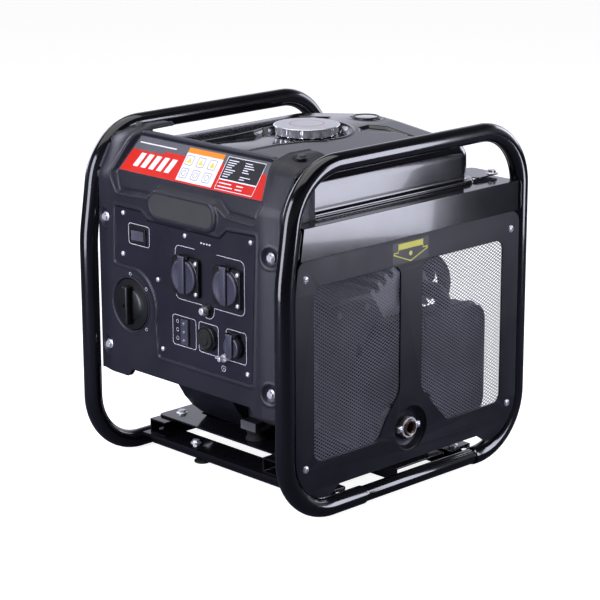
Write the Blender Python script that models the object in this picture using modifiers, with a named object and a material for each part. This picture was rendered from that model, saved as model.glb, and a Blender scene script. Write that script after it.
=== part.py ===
"""Open-frame portable inverter generator, in metres, +Z up, front towards -Y.

The origin is on the floor under the middle of the frame. Two bent tube loops carry the
engine bed, the fuel tank rails, the control panel and a ventilated side panel.
"""

import math

import bmesh
import bpy
from mathutils import Matrix, Vector

# ---------------------------------------------------------------- driving dimensions
FRAME_LENGTH = 0.450        # outside, along Y
FRAME_WIDTH = 0.392         # outside, along X
FRAME_HEIGHT = 0.458        # outside, floor to top tube
TUBE_RADIUS = 0.012
BEND_RADIUS = 0.078         # centreline radius of the frame bends
KNEE_HEIGHT = 0.306         # the front upright leans back above this height
KNEE_RADIUS = 0.200
LEAN = math.radians(8.74)
SLEEVE_FRONT = -0.079       # the bottom run is a plain tube between the two swaged sleeves
SLEEVE_REAR = 0.128
SLEEVE_STEP = 0.93          # radius of that plain tube, as a share of the tube radius
GAP = 0.0003                # between pieces that touch
SHEET = 0.0015              # side panel sheet
PLATE = 0.0025              # bed and rail plate

CROSS_RADIUS = 0.009        # cross tubes under the bed
CROSS_Y = 0.118             # front and rear cross member
CROSS_DEPTH = 0.044
BED_TOP = 0.024
CHANNEL_TOP = 0.045
CHANNEL_LENGTH = 0.272
LEFT_CHANNEL = (-0.160, -0.130)
RIGHT_CHANNEL = (0.062, 0.118)
TRAY_Y = (-0.003, 0.088)
FOOT_RADIUS = 0.011
MOUNT_RADIUS = 0.014
MOUNT_HEIGHT = 0.014

RAIL_HEIGHT = 0.040
RAIL_DROP = 0.082           # rail top below the top of the frame
RAIL_FLANGE = 0.046

DIMPLE = (0.0, 0.084)       # dished recess of the side panel round the exhaust outlet
DIMPLE_RADIUS = 0.0295
DIMPLE_DEPTH = 0.010
OUTLET_HOLE = 0.0170

PANEL_FACE = 0.0015         # panel face behind the plane of the front tubes' axes
PANEL_WALL = 0.0030
PANEL_FRONT_WALL = 0.0055
PANEL_BOTTOM = 0.132
PANEL_DEPTH = 0.062
REBATE = 0.0035             # depth of the seat of the control plate
CONTROL_PLATE = 0.0022

TANK_WALL = 0.0025
TANK_SEAM_DROP = 0.079      # seam below the top of the frame
TANK_BRIM = 0.006           # flange outside the side walls
TANK_NOSE = 0.026           # rounding of the top's front edge
TANK_TAIL = 0.016           # rounding of the top's rear edge
TANK_SHOULDER = 0.049       # seam to the shoulder line
TANK_RIDGE = 0.068          # seam to the ridge line, before it is rounded
FILLER_DEPTH = 0.007        # the filler seat below the top
NECK_RISE = 0.004
TANK_DEPTH = 0.033          # pan below the seam
NECK_RADIUS = 0.031
CAP_RADIUS = 0.0435
CAP_HEIGHT = 0.0135
CAP_Y = 0.0045
GAUGE_Y = 0.115
GAUGE_RADIUS = 0.019

CRANK_Y = -0.014
CRANK_Z = 0.157
SHAFT_RADIUS = 0.012
SHAFT_CLEARANCE = 0.0004
CASE_LEFT = -0.005
CASE_RIGHT = 0.095
CYLINDER_TILT = math.radians(32.0)   # cylinder axis above the horizontal, towards the rear
CASE_DECK = 0.078                    # crank axis to the cylinder seat
CYLINDER_LENGTH = 0.060
HEAD_LENGTH = 0.034
COVER_LENGTH = 0.020
BORE_RADIUS = 0.026
FAN_RADIUS = 0.125
FAN_LEFT = -0.118
ROTOR_RADIUS = 0.078
STATOR_RADIUS = 0.064
RECOIL_RADIUS = 0.088
RECOIL_LEFT = -0.150
ROPE_RADIUS = 0.002
PULLEY_RADIUS = 0.055
MUFFLER_RIGHT = 0.150
DIPSTICK_SEAT = 0.0500      # spout length the dipstick's knob sits on

SOCKET_X = (0.0085, 0.085)
SOCKET_Z = 0.2885
SOCKET_SIZE = 0.050
SOCKET_LID = 0.022
DC_SOCKET = (0.0952, 0.2153)
CHARGE_PORT = (0.0460, 0.2156)
INDICATOR = (0.0020, 0.2145)
RESET = (0.0457, 0.2517)
ROCKER = (-0.0856, 0.3237)
ROCKER_REACH = 0.0112                # from the pin to either end of the rocker
ROCKER_PROUD = math.radians(32.0)    # how far each end stands out, as seen from the pin
ROCKER_SUNK = math.radians(12.0)
DIAL = (-0.1020, 0.2305)
DIAL_RADIUS = 0.034
GROUND = (0.0774, 0.1970)
FRAME_SCREWS = ((0.155, 0.337), (0.154, 0.166))

# ---------------------------------------------------------------- derived places
LOOP_X = FRAME_WIDTH / 2 - TUBE_RADIUS
FRONT_Y = -FRAME_LENGTH / 2 + TUBE_RADIUS
REAR_Y = FRAME_LENGTH / 2 - TUBE_RADIUS
TOP_Z = FRAME_HEIGHT - TUBE_RADIUS
INSIDE_X = LOOP_X - TUBE_RADIUS - GAP           # between the loops
RAIL_TOP = FRAME_HEIGHT - RAIL_DROP
RAIL_BOTTOM = RAIL_TOP - RAIL_HEIGHT
RAIL_X = LOOP_X + 0.0105                        # outer face of the rails
BEND_START = TOP_Z - BEND_RADIUS                # the rear upright bends forward above this height
BEND_SAG = BEND_RADIUS - math.sqrt(BEND_RADIUS ** 2 - max(0.0, RAIL_TOP - BEND_START) ** 2)
RAIL_REACH = TUBE_RADIUS + BEND_SAG + 3 * GAP   # from the rear upright's axis to the rail's end
SIDE_X = RAIL_X - 0.001                         # outer face of the side panel
PANEL_Y = FRONT_Y + PANEL_FACE                  # front face of the control panel
PANEL_TOP = TOP_Z + 0.006
PLATE_Y = PANEL_Y + REBATE - CONTROL_PLATE - GAP
SEAM_Z = FRAME_HEIGHT - TANK_SEAM_DROP
TANK_X = LOOP_X - 0.018
TANK_FRONT = FRONT_Y + 0.047
TANK_REAR = REAR_Y - 0.063
BASE_TOP = CHANNEL_TOP + GAP + PLATE
FEET_Z = BASE_TOP + GAP + MOUNT_HEIGHT + GAP

# Planes for flat outlines: (u, v) and the direction of the thickness
FRONT = Matrix(((1, 0, 0), (0, 0, -1), (0, 1, 0))).to_4x4()   # u = X, v = Z, out = -Y
SIDE = Matrix(((0, 0, 1), (1, 0, 0), (0, 1, 0))).to_4x4()     # u = Y, v = Z, out = +X
FLAT = Matrix.Identity(4)                                     # u = X, v = Y, out = +Z

PARTS = None
CUTTERS = None


# ---------------------------------------------------------------- scene and materials
def start_scene():
    """Empties the scene and makes the two collections."""
    global PARTS, CUTTERS
    for obj in list(bpy.data.objects):
        bpy.data.objects.remove(obj, do_unlink=True)
    PARTS = bpy.data.collections.new("portable_generator")
    CUTTERS = bpy.data.collections.new("cutters")
    bpy.context.scene.collection.children.link(PARTS)
    bpy.context.scene.collection.children.link(CUTTERS)
    CUTTERS.hide_render = True


def paint(obj, color, roughness, metallic=0.0):
    """Gives the object a material of its own."""
    material = bpy.data.materials.new(obj.name)
    material.use_nodes = True
    shader = material.node_tree.nodes["Principled BSDF"]
    shader.inputs["Base Color"].default_value = (*color, 1.0)
    shader.inputs["Roughness"].default_value = roughness
    shader.inputs["Metallic"].default_value = metallic
    obj.data.materials.clear()
    obj.data.materials.append(material)
    return obj


def black_gloss(obj):
    return paint(obj, (0.008, 0.008, 0.009), 0.12)


def black_satin(obj):
    return paint(obj, (0.02, 0.02, 0.024), 0.42)


def panel_plastic(obj):
    return paint(obj, (0.035, 0.036, 0.045), 0.45)


def rubber(obj):
    return paint(obj, (0.012, 0.012, 0.012), 0.8)


def cast_aluminium(obj):
    return paint(obj, (0.50, 0.50, 0.52), 0.45, 0.9)


def bright_steel(obj):
    return paint(obj, (0.72, 0.72, 0.74), 0.2, 1.0)


def dark_steel(obj):
    return paint(obj, (0.06, 0.06, 0.065), 0.5, 0.7)


# ---------------------------------------------------------------- shape helpers
def add(name, mesh, cutter=False, place=None):
    """Puts a mesh in the scene as a part or as a cutter."""
    obj = bpy.data.objects.new(name, mesh)
    (CUTTERS if cutter else PARTS).objects.link(obj)
    if place is not None:
        obj.matrix_world = place
    if cutter:
        obj.hide_render = True
        obj.display_type = "WIRE"
    return obj


def smooth(obj, angle=35.0):
    """Shades the faces smooth, but keeps the real edges sharp."""
    obj.data.shade_smooth()
    obj.data.set_sharp_from_angle(angle=math.radians(angle))
    return obj


def from_bmesh(name, bm, cutter=False, place=None):
    mesh = bpy.data.meshes.new(name)
    bm.to_mesh(mesh)
    bm.free()
    return add(name, mesh, cutter, place)


def block(name, low, high, bevel=0.0, segments=2, cutter=False):
    """A box between two corners. A bevel rounds all its edges."""
    low = Vector(low)
    high = Vector(high)
    bm = bmesh.new()
    bmesh.ops.create_cube(bm, size=1.0)
    bmesh.ops.scale(bm, vec=high - low, verts=bm.verts)
    if bevel:
        bmesh.ops.bevel(bm, geom=bm.edges[:], offset=bevel, segments=segments, profile=0.5, affect="EDGES")
    return from_bmesh(name, bm, cutter, Matrix.Translation((low + high) / 2))


def aim(start, direction):
    """A place at start whose local Z points along direction."""
    turn = Vector(direction).to_track_quat("Z", "Y").to_matrix().to_4x4()
    return Matrix.Translation(start) @ turn


def rod(name, start, end, radius, sides=16, cutter=False, end_radius=None):
    """A round bar or cone between two points."""
    start = Vector(start)
    end = Vector(end)
    length = (end - start).length
    bm = bmesh.new()
    bmesh.ops.create_cone(
        bm, cap_ends=True, segments=sides, radius1=radius,
        radius2=radius if end_radius is None else end_radius, depth=length,
    )
    return smooth(from_bmesh(name, bm, cutter, aim((start + end) / 2, end - start)))


def turned(name, profile, start, direction, sides=32, ring=False, cutter=False):
    """A turned solid. The profile is (radius, height) along direction; a ring has a bore."""
    area = 0.0
    for (r1, h1), (r2, h2) in zip(profile, profile[1:] + profile[:1]):
        area += r1 * h2 - r2 * h1
    points = profile if area < 0 else profile[::-1]
    if not ring:
        count = len(points)
        first = next(i for i in range(count) if points[i][0] == 0 and points[i - 1][0] == 0)
        points = points[first:] + points[:first]
    mesh = bpy.data.meshes.new(name)
    edges = [(i, i + 1) for i in range(len(points) - 1)]
    if ring:
        edges.append((len(points) - 1, 0))
    mesh.from_pydata([(r, 0.0, h) for r, h in points], edges, [])
    obj = add(name, mesh, cutter, aim(start, direction))
    screw = obj.modifiers.new("turn", "SCREW")
    screw.steps = sides
    screw.render_steps = sides
    screw.use_merge_vertices = True
    screw.merge_threshold = 0.00002
    screw.use_smooth_shade = False
    return obj


def rounded(corners, step=22.5):
    """A closed outline through corners (u, v, radius), with each corner as an arc."""
    points = []
    count = len(corners)
    for index, (u, v, radius) in enumerate(corners):
        corner = Vector((u, v))
        if radius == 0:
            points.append(corner)
            continue
        before = (Vector(corners[index - 1][:2]) - corner).normalized()
        after = (Vector(corners[(index + 1) % count][:2]) - corner).normalized()
        half = before.angle(after) / 2
        centre = corner + (before + after).normalized() * (radius / math.sin(half))
        reach = radius / math.tan(half)
        first = corner + before * reach - centre
        last = corner + after * reach - centre
        begin = math.atan2(first.y, first.x)
        sweep = math.atan2(last.y, last.x) - begin
        sweep = (sweep + math.pi) % (2 * math.pi) - math.pi
        steps = max(2, round(abs(math.degrees(sweep)) / step))
        for i in range(steps + 1):
            angle = begin + sweep * i / steps
            points.append(centre + Vector((math.cos(angle), math.sin(angle))) * radius)
    return points


def circle(u, v, radius, sides=24):
    """A closed round outline."""
    turns = [2 * math.pi * i / sides for i in range(sides)]
    return [Vector((u + radius * math.cos(t), v + radius * math.sin(t))) for t in turns]


def rectangle(u1, u2, v1, v2, radius=0.0):
    return rounded([(u1, v1, radius), (u2, v1, radius), (u2, v2, radius), (u1, v2, radius)])


def around(centre, half_u, half_v, radius=0.0):
    """A rectangle about a centre."""
    u, v = centre
    return rectangle(u - half_u, u + half_u, v - half_v, v + half_v, radius)


def weld(obj, cutter=False):
    """Makes a curve object a closed mesh object in the same place."""
    bpy.context.view_layer.update()
    graph = bpy.context.evaluated_depsgraph_get()
    mesh = bpy.data.meshes.new_from_object(obj.evaluated_get(graph))
    bm = bmesh.new()
    bm.from_mesh(mesh)
    bmesh.ops.remove_doubles(bm, verts=bm.verts, dist=0.00001)
    bmesh.ops.recalc_face_normals(bm, faces=bm.faces)
    bm.to_mesh(mesh)
    bm.free()
    name = obj.name
    place = obj.matrix_world.copy()
    bpy.data.objects.remove(obj, do_unlink=True)
    return add(name, mesh, cutter, place)


def prism(name, outline, low, high, plane, holes=(), cutter=False):
    """A flat outline with thickness, from low to high along the world axis of the plane."""
    curve = bpy.data.curves.new(name, "CURVE")
    curve.dimensions = "2D"
    curve.fill_mode = "BOTH"
    curve.extrude = (high - low) / 2
    for loop in (outline, *holes):
        spline = curve.splines.new("POLY")
        spline.points.add(len(loop) - 1)
        for point, place in zip(spline.points, loop):
            point.co = (place[0], place[1], 0.0, 1.0)
        spline.use_cyclic_u = True
    obj = bpy.data.objects.new(name, curve)
    (CUTTERS if cutter else PARTS).objects.link(obj)
    axis = plane.to_3x3() @ Vector((0, 0, 1))
    middle = Vector([abs(value) for value in axis]) * (low + high) / 2
    obj.matrix_world = Matrix.Translation(middle) @ plane
    return weld(obj, cutter)


def tube(name, points, radius, sides=12, closed=False, radii=None, solid=False, cutter=False):
    """A round tube or wire through points."""
    curve = bpy.data.curves.new(name, "CURVE")
    curve.dimensions = "3D"
    curve.bevel_depth = radius
    curve.bevel_resolution = (sides - 4) // 2
    curve.use_fill_caps = True
    spline = curve.splines.new("POLY")
    spline.points.add(len(points) - 1)
    for index, place in enumerate(points):
        spline.points[index].co = (*place, 1.0)
        spline.points[index].radius = radii[index] if radii else 1.0
    spline.use_cyclic_u = closed
    obj = bpy.data.objects.new(name, curve)
    (CUTTERS if cutter else PARTS).objects.link(obj)
    return weld(obj, cutter) if solid or cutter else obj


def combine(obj, others, operation):
    for other in others:
        change = obj.modifiers.new(other.name, "BOOLEAN")
        change.operation = operation
        change.object = other
    return obj


def cut(obj, *others):
    return combine(obj, others, "DIFFERENCE")


def join(obj, *others):
    return combine(obj, others, "UNION")


# ---------------------------------------------------------------- frame and bed
def loop_line():
    """The centreline of a frame loop in the YZ plane."""
    top_front = FRONT_Y + math.tan(LEAN) * (TOP_Z - KNEE_HEIGHT)
    return rounded([
        (FRONT_Y, TUBE_RADIUS, BEND_RADIUS),
        (REAR_Y, TUBE_RADIUS, BEND_RADIUS),
        (REAR_Y, TOP_Z, BEND_RADIUS),
        (top_front, TOP_Z, BEND_RADIUS),
        (FRONT_Y, KNEE_HEIGHT, KNEE_RADIUS),
    ], step=15.0)


def frame_loop(name, x):
    """One bent tube loop, with its bottom run stepped down between the sleeves."""
    points = []
    radii = []
    for y, z in loop_line():
        points.append((x, y, z))
        radii.append(1.0)
        on_bottom = abs(z - TUBE_RADIUS) < 0.0001
        if on_bottom and y < 0 and SLEEVE_FRONT not in [p[1] for p in points]:
            for place in (SLEEVE_FRONT, SLEEVE_REAR):
                shares = (1.0, SLEEVE_STEP) if place < 0 else (SLEEVE_STEP, 1.0)
                for offset, share in zip((0.0, 0.0008), shares):
                    points.append((x, place + offset, z))
                    radii.append(share)
    return black_gloss(tube(name, points, TUBE_RADIUS, closed=True, radii=radii))


def cross_member(name, side):
    """A cross tube with a seat plate on it, between the loops."""
    y = side * CROSS_Y
    half = CROSS_DEPTH / 2
    bar = rod(name, (-INSIDE_X, y, TUBE_RADIUS), (INSIDE_X, y, TUBE_RADIUS), CROSS_RADIUS)
    low = (-INSIDE_X, y - half, TUBE_RADIUS + CROSS_RADIUS - 0.0015)
    seat = block(name + "_seat", low, (INSIDE_X, y + half, BED_TOP), cutter=True)
    return black_gloss(join(bar, seat))


def bed_tray():
    """A shallow folded tray between the loops, behind the middle of the bed."""
    front, rear = TRAY_Y
    floor = BED_TOP - PLATE
    drop = TUBE_RADIUS - 0.006
    profile = [
        (front, drop), (front + PLATE, drop), (front + PLATE, floor), (rear - PLATE, floor),
        (rear - PLATE, drop), (rear, drop), (rear, BED_TOP), (front, BED_TOP),
    ]
    return black_gloss(prism("bed_tray", profile, -INSIDE_X, INSIDE_X, SIDE))


def bed_channel(name, left, right):
    """A C channel along Y that lifts the engine base plate off the cross members."""
    bottom = BED_TOP + GAP
    profile = [
        (left, bottom), (right, bottom), (right, bottom + PLATE), (left + PLATE, bottom + PLATE),
        (left + PLATE, CHANNEL_TOP - PLATE), (right, CHANNEL_TOP - PLATE),
        (right, CHANNEL_TOP), (left, CHANNEL_TOP),
    ]
    return black_gloss(prism(name, profile, -CHANNEL_LENGTH / 2, CHANNEL_LENGTH / 2, FRONT))


def engine_base_plate():
    """The plate that the engine stands on, cut out around the fan housing."""
    bottom = CHANNEL_TOP + GAP
    outline = rectangle(LEFT_CHANNEL[0], RIGHT_CHANNEL[1], -0.121, 0.121, 0.006)
    chord = max(FAN_RADIUS ** 2 - (CRANK_Z - BASE_TOP) ** 2, 0.0)
    reach = math.sqrt(chord) + 0.004
    window = rectangle(
        FAN_LEFT - 0.004, CASE_LEFT + 0.001, CRANK_Y - reach, CRANK_Y + reach, 0.004
    )
    return black_gloss(prism("engine_base_plate", outline, bottom, BASE_TOP, FLAT, holes=[window]))


def rubber_foot():
    """A round pad under the front cross tube, level with the bottom of the loops."""
    x = -0.075
    y = -CROSS_Y
    top = TUBE_RADIUS - CROSS_RADIUS - GAP
    return rubber(rod("rubber_foot", (x, y, 0.0), (x, y, top), FOOT_RADIUS))


def engine_mount(name, x, y):
    """A rubber bush between the base plate and an engine foot."""
    bottom = BASE_TOP + GAP
    waist = MOUNT_RADIUS - 0.003
    profile = [
        (0.0, MOUNT_HEIGHT), (MOUNT_RADIUS, MOUNT_HEIGHT), (waist, MOUNT_HEIGHT / 2),
        (MOUNT_RADIUS, 0.0), (0.0, 0.0),
    ]
    return rubber(turned(name, profile, (x, y, bottom), (0, 0, 1), sides=16))


def tank_rail(name, side):
    """An angle rail between the uprights of a loop, which carries the tank."""
    outer = side * RAIL_X
    inner = side * (RAIL_X - RAIL_FLANGE)
    web = side * (RAIL_X - PLATE)
    profile = [
        (outer, RAIL_BOTTOM), (outer, RAIL_TOP), (inner, RAIL_TOP),
        (inner, RAIL_TOP - PLATE), (web, RAIL_TOP - PLATE), (web, RAIL_BOTTOM),
    ]
    rail = prism(name, profile, FRONT_Y - 0.01, REAR_Y + 0.01, FRONT)
    x = side * LOOP_X
    reach = (TUBE_RADIUS + GAP) / math.cos(LEAN)
    lean_top = FRONT_Y + math.tan(LEAN) * (FRAME_HEIGHT - KNEE_HEIGHT)
    low_y = FRONT_Y - math.tan(LEAN) * 0.1
    front = prism(name + "_front_cope", [
        (low_y - 0.05, KNEE_HEIGHT - 0.1), (low_y + reach, KNEE_HEIGHT - 0.1),
        (lean_top + reach, FRAME_HEIGHT), (lean_top - 0.05, FRAME_HEIGHT),
    ], min(x, outer * 1.1) - 0.1, max(x, outer * 1.1) + 0.1, SIDE, cutter=True)
    rear = block(
        name + "_rear_cope", (x - 0.1, REAR_Y - RAIL_REACH, RAIL_BOTTOM - 0.01),
        (x + 0.1, REAR_Y + 0.1, RAIL_TOP + 0.01), cutter=True,
    )
    panel_side = side * (INSIDE_X + 0.003)
    room = block(
        name + "_panel_room", (min(side * 0.1, panel_side), FRONT_Y - 0.05, RAIL_BOTTOM - 0.01),
        (max(side * 0.1, panel_side), PANEL_Y + PANEL_DEPTH + 0.002, RAIL_TOP + 0.01), cutter=True,
    )
    return black_gloss(cut(rail, front, rear, room))


# ---------------------------------------------------------------- side panel
def side_windows():
    """The two ventilation windows of the side panel, with a chamfer by the outlet."""
    top = RAIL_BOTTOM - 0.034
    bottom = 0.079
    edge = REAR_Y - 0.040
    corner = 0.014
    front = [
        (-edge, bottom, corner), (-0.060, bottom, corner), (-0.042, 0.108, 0.02),
        (-0.020, 0.137, 0.02), (-0.020, top, corner), (-edge, top, corner),
    ]
    rear = [
        (edge, bottom, corner), (0.068, bottom, corner), (0.025, 0.124, 0.008),
        (0.018, 0.137, 0.008), (0.018, top, corner), (edge, top, corner),
    ]
    return rounded(front, 30.0), rounded(rear, 30.0)


def side_panel():
    """The sheet panel inside the right loop, with a dished recess round the outlet."""
    inner = SIDE_X - SHEET
    reach = math.sqrt((TUBE_RADIUS + GAP) ** 2 - (inner - LOOP_X) ** 2)
    edge = REAR_Y - reach
    lobe = 0.030
    low = 0.042
    corner = BEND_RADIUS - 0.020
    lean = math.tan(LEAN) * (RAIL_BOTTOM - KNEE_HEIGHT) + 0.001
    outline = rounded([
        (-edge, lobe, corner), (-0.146, lobe, 0.0), (-0.128, low, 0.0), (0.128, low, 0.0),
        (0.146, lobe, 0.0), (edge, lobe, corner), (edge, RAIL_BOTTOM - GAP, 0.015),
        (-edge + lean, RAIL_BOTTOM - GAP, 0.012), (-edge, KNEE_HEIGHT - 0.012, 0.0),
    ])
    holes = [*side_windows(), circle(*DIMPLE, DIMPLE_RADIUS)]
    panel = prism("side_panel_right", outline, inner, SIDE_X, SIDE, holes=holes)
    wall = DIMPLE_RADIUS + 0.0008
    dish = turned("side_panel_dish", [
        (wall, SHEET), (wall, -DIMPLE_DEPTH), (OUTLET_HOLE, -DIMPLE_DEPTH),
        (OUTLET_HOLE, SHEET - DIMPLE_DEPTH), (DIMPLE_RADIUS - SHEET, SHEET - DIMPLE_DEPTH),
        (DIMPLE_RADIUS - SHEET, SHEET),
    ], (inner, *DIMPLE), (1, 0, 0), sides=24, ring=True, cutter=True)
    return black_satin(join(panel, dish))


def mesh_screen():
    """The expanded-metal sheet behind both windows, as a thin plate that clears the dish."""
    high = SIDE_X - SHEET - GAP
    low = high - 0.0012
    top = RAIL_BOTTOM - 0.024
    edge = REAR_Y - 0.030
    bottom = 0.069
    sheet = [
        (-edge, bottom), (-0.052, bottom), (-0.034, 0.100), (-0.034, 0.120), (0.034, 0.120),
        (0.034, 0.098), (0.060, bottom), (edge, bottom), (edge, top), (-edge, top),
    ]
    dark_steel(prism("mesh_screen", sheet, low, high, SIDE))


# ---------------------------------------------------------------- control panel
def panel_profile(inset):
    """The side profile of the control panel shell, drawn inwards by inset."""
    rise = PANEL_TOP - inset
    face = PANEL_Y + inset
    return rounded([
        (face, PANEL_BOTTOM - 0.010, 0.0), (face, TOP_Z - 0.052, 0.030),
        (PANEL_Y + 0.030 + inset * 0.5, rise - 0.008, 0.030), (PANEL_Y + 0.062, rise, 0.020),
        (PANEL_Y + PANEL_DEPTH + 0.034, rise, 0.0),
        (PANEL_Y + PANEL_DEPTH + 0.034, TOP_Z - 0.014 + inset, 0.0),
        (PANEL_Y + PANEL_DEPTH, TOP_Z - 0.046 + inset, 0.0),
        (PANEL_Y + PANEL_DEPTH, PANEL_BOTTOM - 0.010, 0.0),
    ])


def plate_outline(grow):
    """The outline of the control plate, which passes round the dial and under the badge."""
    g = grow
    arc = []
    for degrees in range(75, -16, -15):
        turn = math.radians(degrees)
        radius = 0.0525 - g
        arc.append((DIAL[0] + radius * math.cos(turn), DIAL[1] + radius * math.sin(turn)))
    points = [(-0.1290 - g, 0.3550 + g), (-0.1316 - g, 0.2828 - g)]
    points += arc
    points += [(-0.0470 - g, 0.1730 - g), (0.1240 + g, 0.1730 - g), (0.1310 + g, 0.3590 + g)]
    points += [(0.0820, 0.3570 + g), (0.0680, 0.3455 + g), (-0.0680, 0.3455 + g), (-0.0800, 0.3550 + g)]
    return [Vector(point) for point in points]


def panel_housing():
    """The moulded shell of the control panel, open at the back and below."""
    shell = prism("control_panel_housing", panel_profile(0.0), -INSIDE_X, INSIDE_X, SIDE)
    room = INSIDE_X - PANEL_WALL
    inside = rounded([
        (PANEL_Y + PANEL_FRONT_WALL, 0.05, 0.0), (PANEL_Y + PANEL_FRONT_WALL, TOP_Z - 0.054, 0.020),
        (PANEL_Y + 0.050, PANEL_TOP - 0.014, 0.020), (PANEL_Y + 0.2, PANEL_TOP - 0.014, 0.0),
        (PANEL_Y + 0.2, 0.05, 0.0),
    ])
    hollow = prism("panel_hollow", inside, -room, room, SIDE, cutter=True)
    notch = prism("panel_notch", [
        (-0.112, 0.1), (-0.102, 0.1427), (0.119, 0.1427), (0.129, 0.1),
    ], PANEL_Y - 0.02, PANEL_Y + 0.03, FRONT, cutter=True)
    skirt = block(
        "panel_skirt_cut", (-0.2, PANEL_Y - 0.02, PANEL_BOTTOM - 0.05),
        (0.2, PANEL_Y + 0.2, PANEL_BOTTOM), cutter=True,
    )
    label = prism("panel_label_recess", [
        (-0.1355, 0.0), (0.1355, 0.0), (0.1225, 0.0555), (-0.1225, 0.0555),
    ], -0.02, 0.0, FLAT, cutter=True)
    label.matrix_world = label_place(0.010)
    top = block(
        "panel_top_dip", (-0.1225, PANEL_Y + 0.040, PANEL_TOP - 0.006),
        (0.1225, PANEL_Y + 0.2, PANEL_TOP + 0.02), cutter=True,
    )
    seat = prism(
        "panel_plate_seat", plate_outline(GAP), PANEL_Y - 0.01, PANEL_Y + REBATE, FRONT, cutter=True
    )
    back = [
        block(
            "panel_back_right", (-0.045, PANEL_Y - 0.01, 0.181), (0.116, PANEL_Y + 0.02, 0.339), cutter=True
        ),
        block(
            "panel_back_left", (-0.112, PANEL_Y - 0.01, 0.300), (-0.058, PANEL_Y + 0.02, 0.347), cutter=True
        ),
        rod("panel_dial_hole", (DIAL[0], PANEL_Y - 0.01, DIAL[1]), (DIAL[0], PANEL_Y + 0.02, DIAL[1]),
            DIAL_RADIUS + 0.0006, sides=32, cutter=True),
    ]
    cups = []
    for x, z in FRAME_SCREWS:
        for side in (-1, 1):
            place = (side * x, PANEL_Y + 0.0035, z)
            cups.append(rod(
                "panel_cup", place, (side * x, PANEL_Y - 0.01, z), 0.0075, end_radius=0.012, cutter=True
            ))
    tank_room = block(
        "panel_tank_room", (-0.1225, TANK_FRONT + 0.0045, SEAM_Z), (0.1225, PANEL_Y + 0.2, PANEL_TOP + 0.02),
        cutter=True,
    )
    cut(shell, hollow, notch, skirt, label, top, tank_room, seat, *back, *cups)
    badge = prism(
        "panel_badge_pad", rectangle(-0.065, 0.065, 0.3495, 0.3925, 0.0205),
        PANEL_Y - 0.0045, PANEL_Y + 0.002, FRONT, cutter=True,
    )
    badge_room = prism(
        "panel_badge_room", rectangle(-0.0575, 0.0575, 0.3555, 0.3865, 0.0150),
        PANEL_Y - 0.006, PANEL_Y - 0.0025, FRONT, cutter=True,
    )
    join(shell, badge)
    cut(shell, badge_room)
    return panel_plastic(shell)


def label_place(lift):
    """The slanted label face: its bottom edge is local y 0, and it faces up and forward."""
    bottom = Vector((0.0, PANEL_Y + 0.0105, TOP_Z - 0.0465))
    top = Vector((0.0, PANEL_Y + 0.0415, TOP_Z - 0.0025))
    up = (top - bottom).normalized()
    out = Vector((1, 0, 0)).cross(up)
    turn = Matrix((Vector((1, 0, 0)), up, out)).transposed().to_4x4()
    return Matrix.Translation(bottom + out * lift) @ turn


def control_plate():
    """The plate that carries the sockets and switches."""
    holes = [circle(x, SOCKET_Z, 0.0205) for x in SOCKET_X]
    holes.append(circle(*DC_SOCKET, 0.0125))
    holes.append(circle(*CHARGE_PORT, 0.0125))
    holes.append(circle(*RESET, 0.0078, 16))
    holes.append(circle(*GROUND, 0.0033, 16))
    holes.append(around(ROCKER, 0.0133, 0.0083))
    holes.append(around(INDICATOR, 0.0063, 0.0163))
    plate = prism("control_plate", plate_outline(0.0), PLATE_Y, PLATE_Y + CONTROL_PLATE, FRONT, holes=holes)
    return panel_plastic(plate)


def socket(name, x, z, size, opening, depth, round_base):
    """An outlet: a bezel on the plate, a barrel through it, and ears for the lid's hinge."""
    face = PLATE_Y - GAP
    front = face - 0.0055
    if round_base:
        bezel = rod(name + "_base", (x, face, z), (x, front, z), size / 2, sides=24)
    else:
        half = size / 2
        bezel = prism(name + "_base", around((x, z), half, half, 0.005), front, face, FRONT)
    barrel = rod(
        name + "_barrel", (x, face - 0.001, z), (x, face + depth, z), opening + 0.0018, sides=24, cutter=True
    )
    bore = rod(
        name + "_bore", (x, front - 0.001, z), (x, face + depth - 0.003, z), opening, sides=24, cutter=True
    )
    hinge_z = z + size / 2 + 0.0005
    join(bezel, barrel)
    if round_base:
        tab = block(
            name + "_tab", (x - 0.0093, front + 0.0003, z), (x + 0.0093, front + 0.0035, hinge_z + 0.0015),
            cutter=True,
        )
        join(bezel, tab)
    cut(bezel, bore)
    for side in (-1, 1):
        near = x + side * 0.0063
        far = x + side * 0.0093
        ear = block(
            name + "_ear", (min(near, far), front - 0.0045, hinge_z - 0.0020),
            (max(near, far), front + 0.0015, hinge_z + 0.0022), cutter=True,
        )
        join(bezel, ear)
    return black_satin(bezel)


def socket_lid(name, x, z, size, radius):
    """A sprung flap with a raised bar, on a hinge above the outlet."""
    front = PLATE_Y - GAP - 0.0055
    back = front - GAP
    hinge = Vector((x, front - 0.0022, z + size / 2 + 0.0005))
    lid = rod(name, (x, back, z), (x, back - 0.0035, z), radius, sides=32)
    bar = block(
        name + "_bar", (x - 0.0055, back - 0.0065, z - radius + 0.001),
        (x + 0.0055, back - 0.0015, hinge.z - 0.0005), cutter=True,
    )
    reach = Vector((0.0060, 0, 0))
    barrel = rod(name + "_barrel", hinge - reach, hinge + reach, 0.0018, sides=12, cutter=True)
    join(lid, bar, barrel)
    pivot = bpy.data.objects.new(name + "_pivot", None)
    PARTS.objects.link(pivot)
    pivot.location = hinge
    bpy.context.view_layer.update()
    for obj in (lid, bar, barrel):
        place = obj.matrix_world.copy()
        obj.parent = pivot
        obj.matrix_parent_inverse = pivot.matrix_world.inverted()
        obj.matrix_world = place
    return black_satin(lid)


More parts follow.
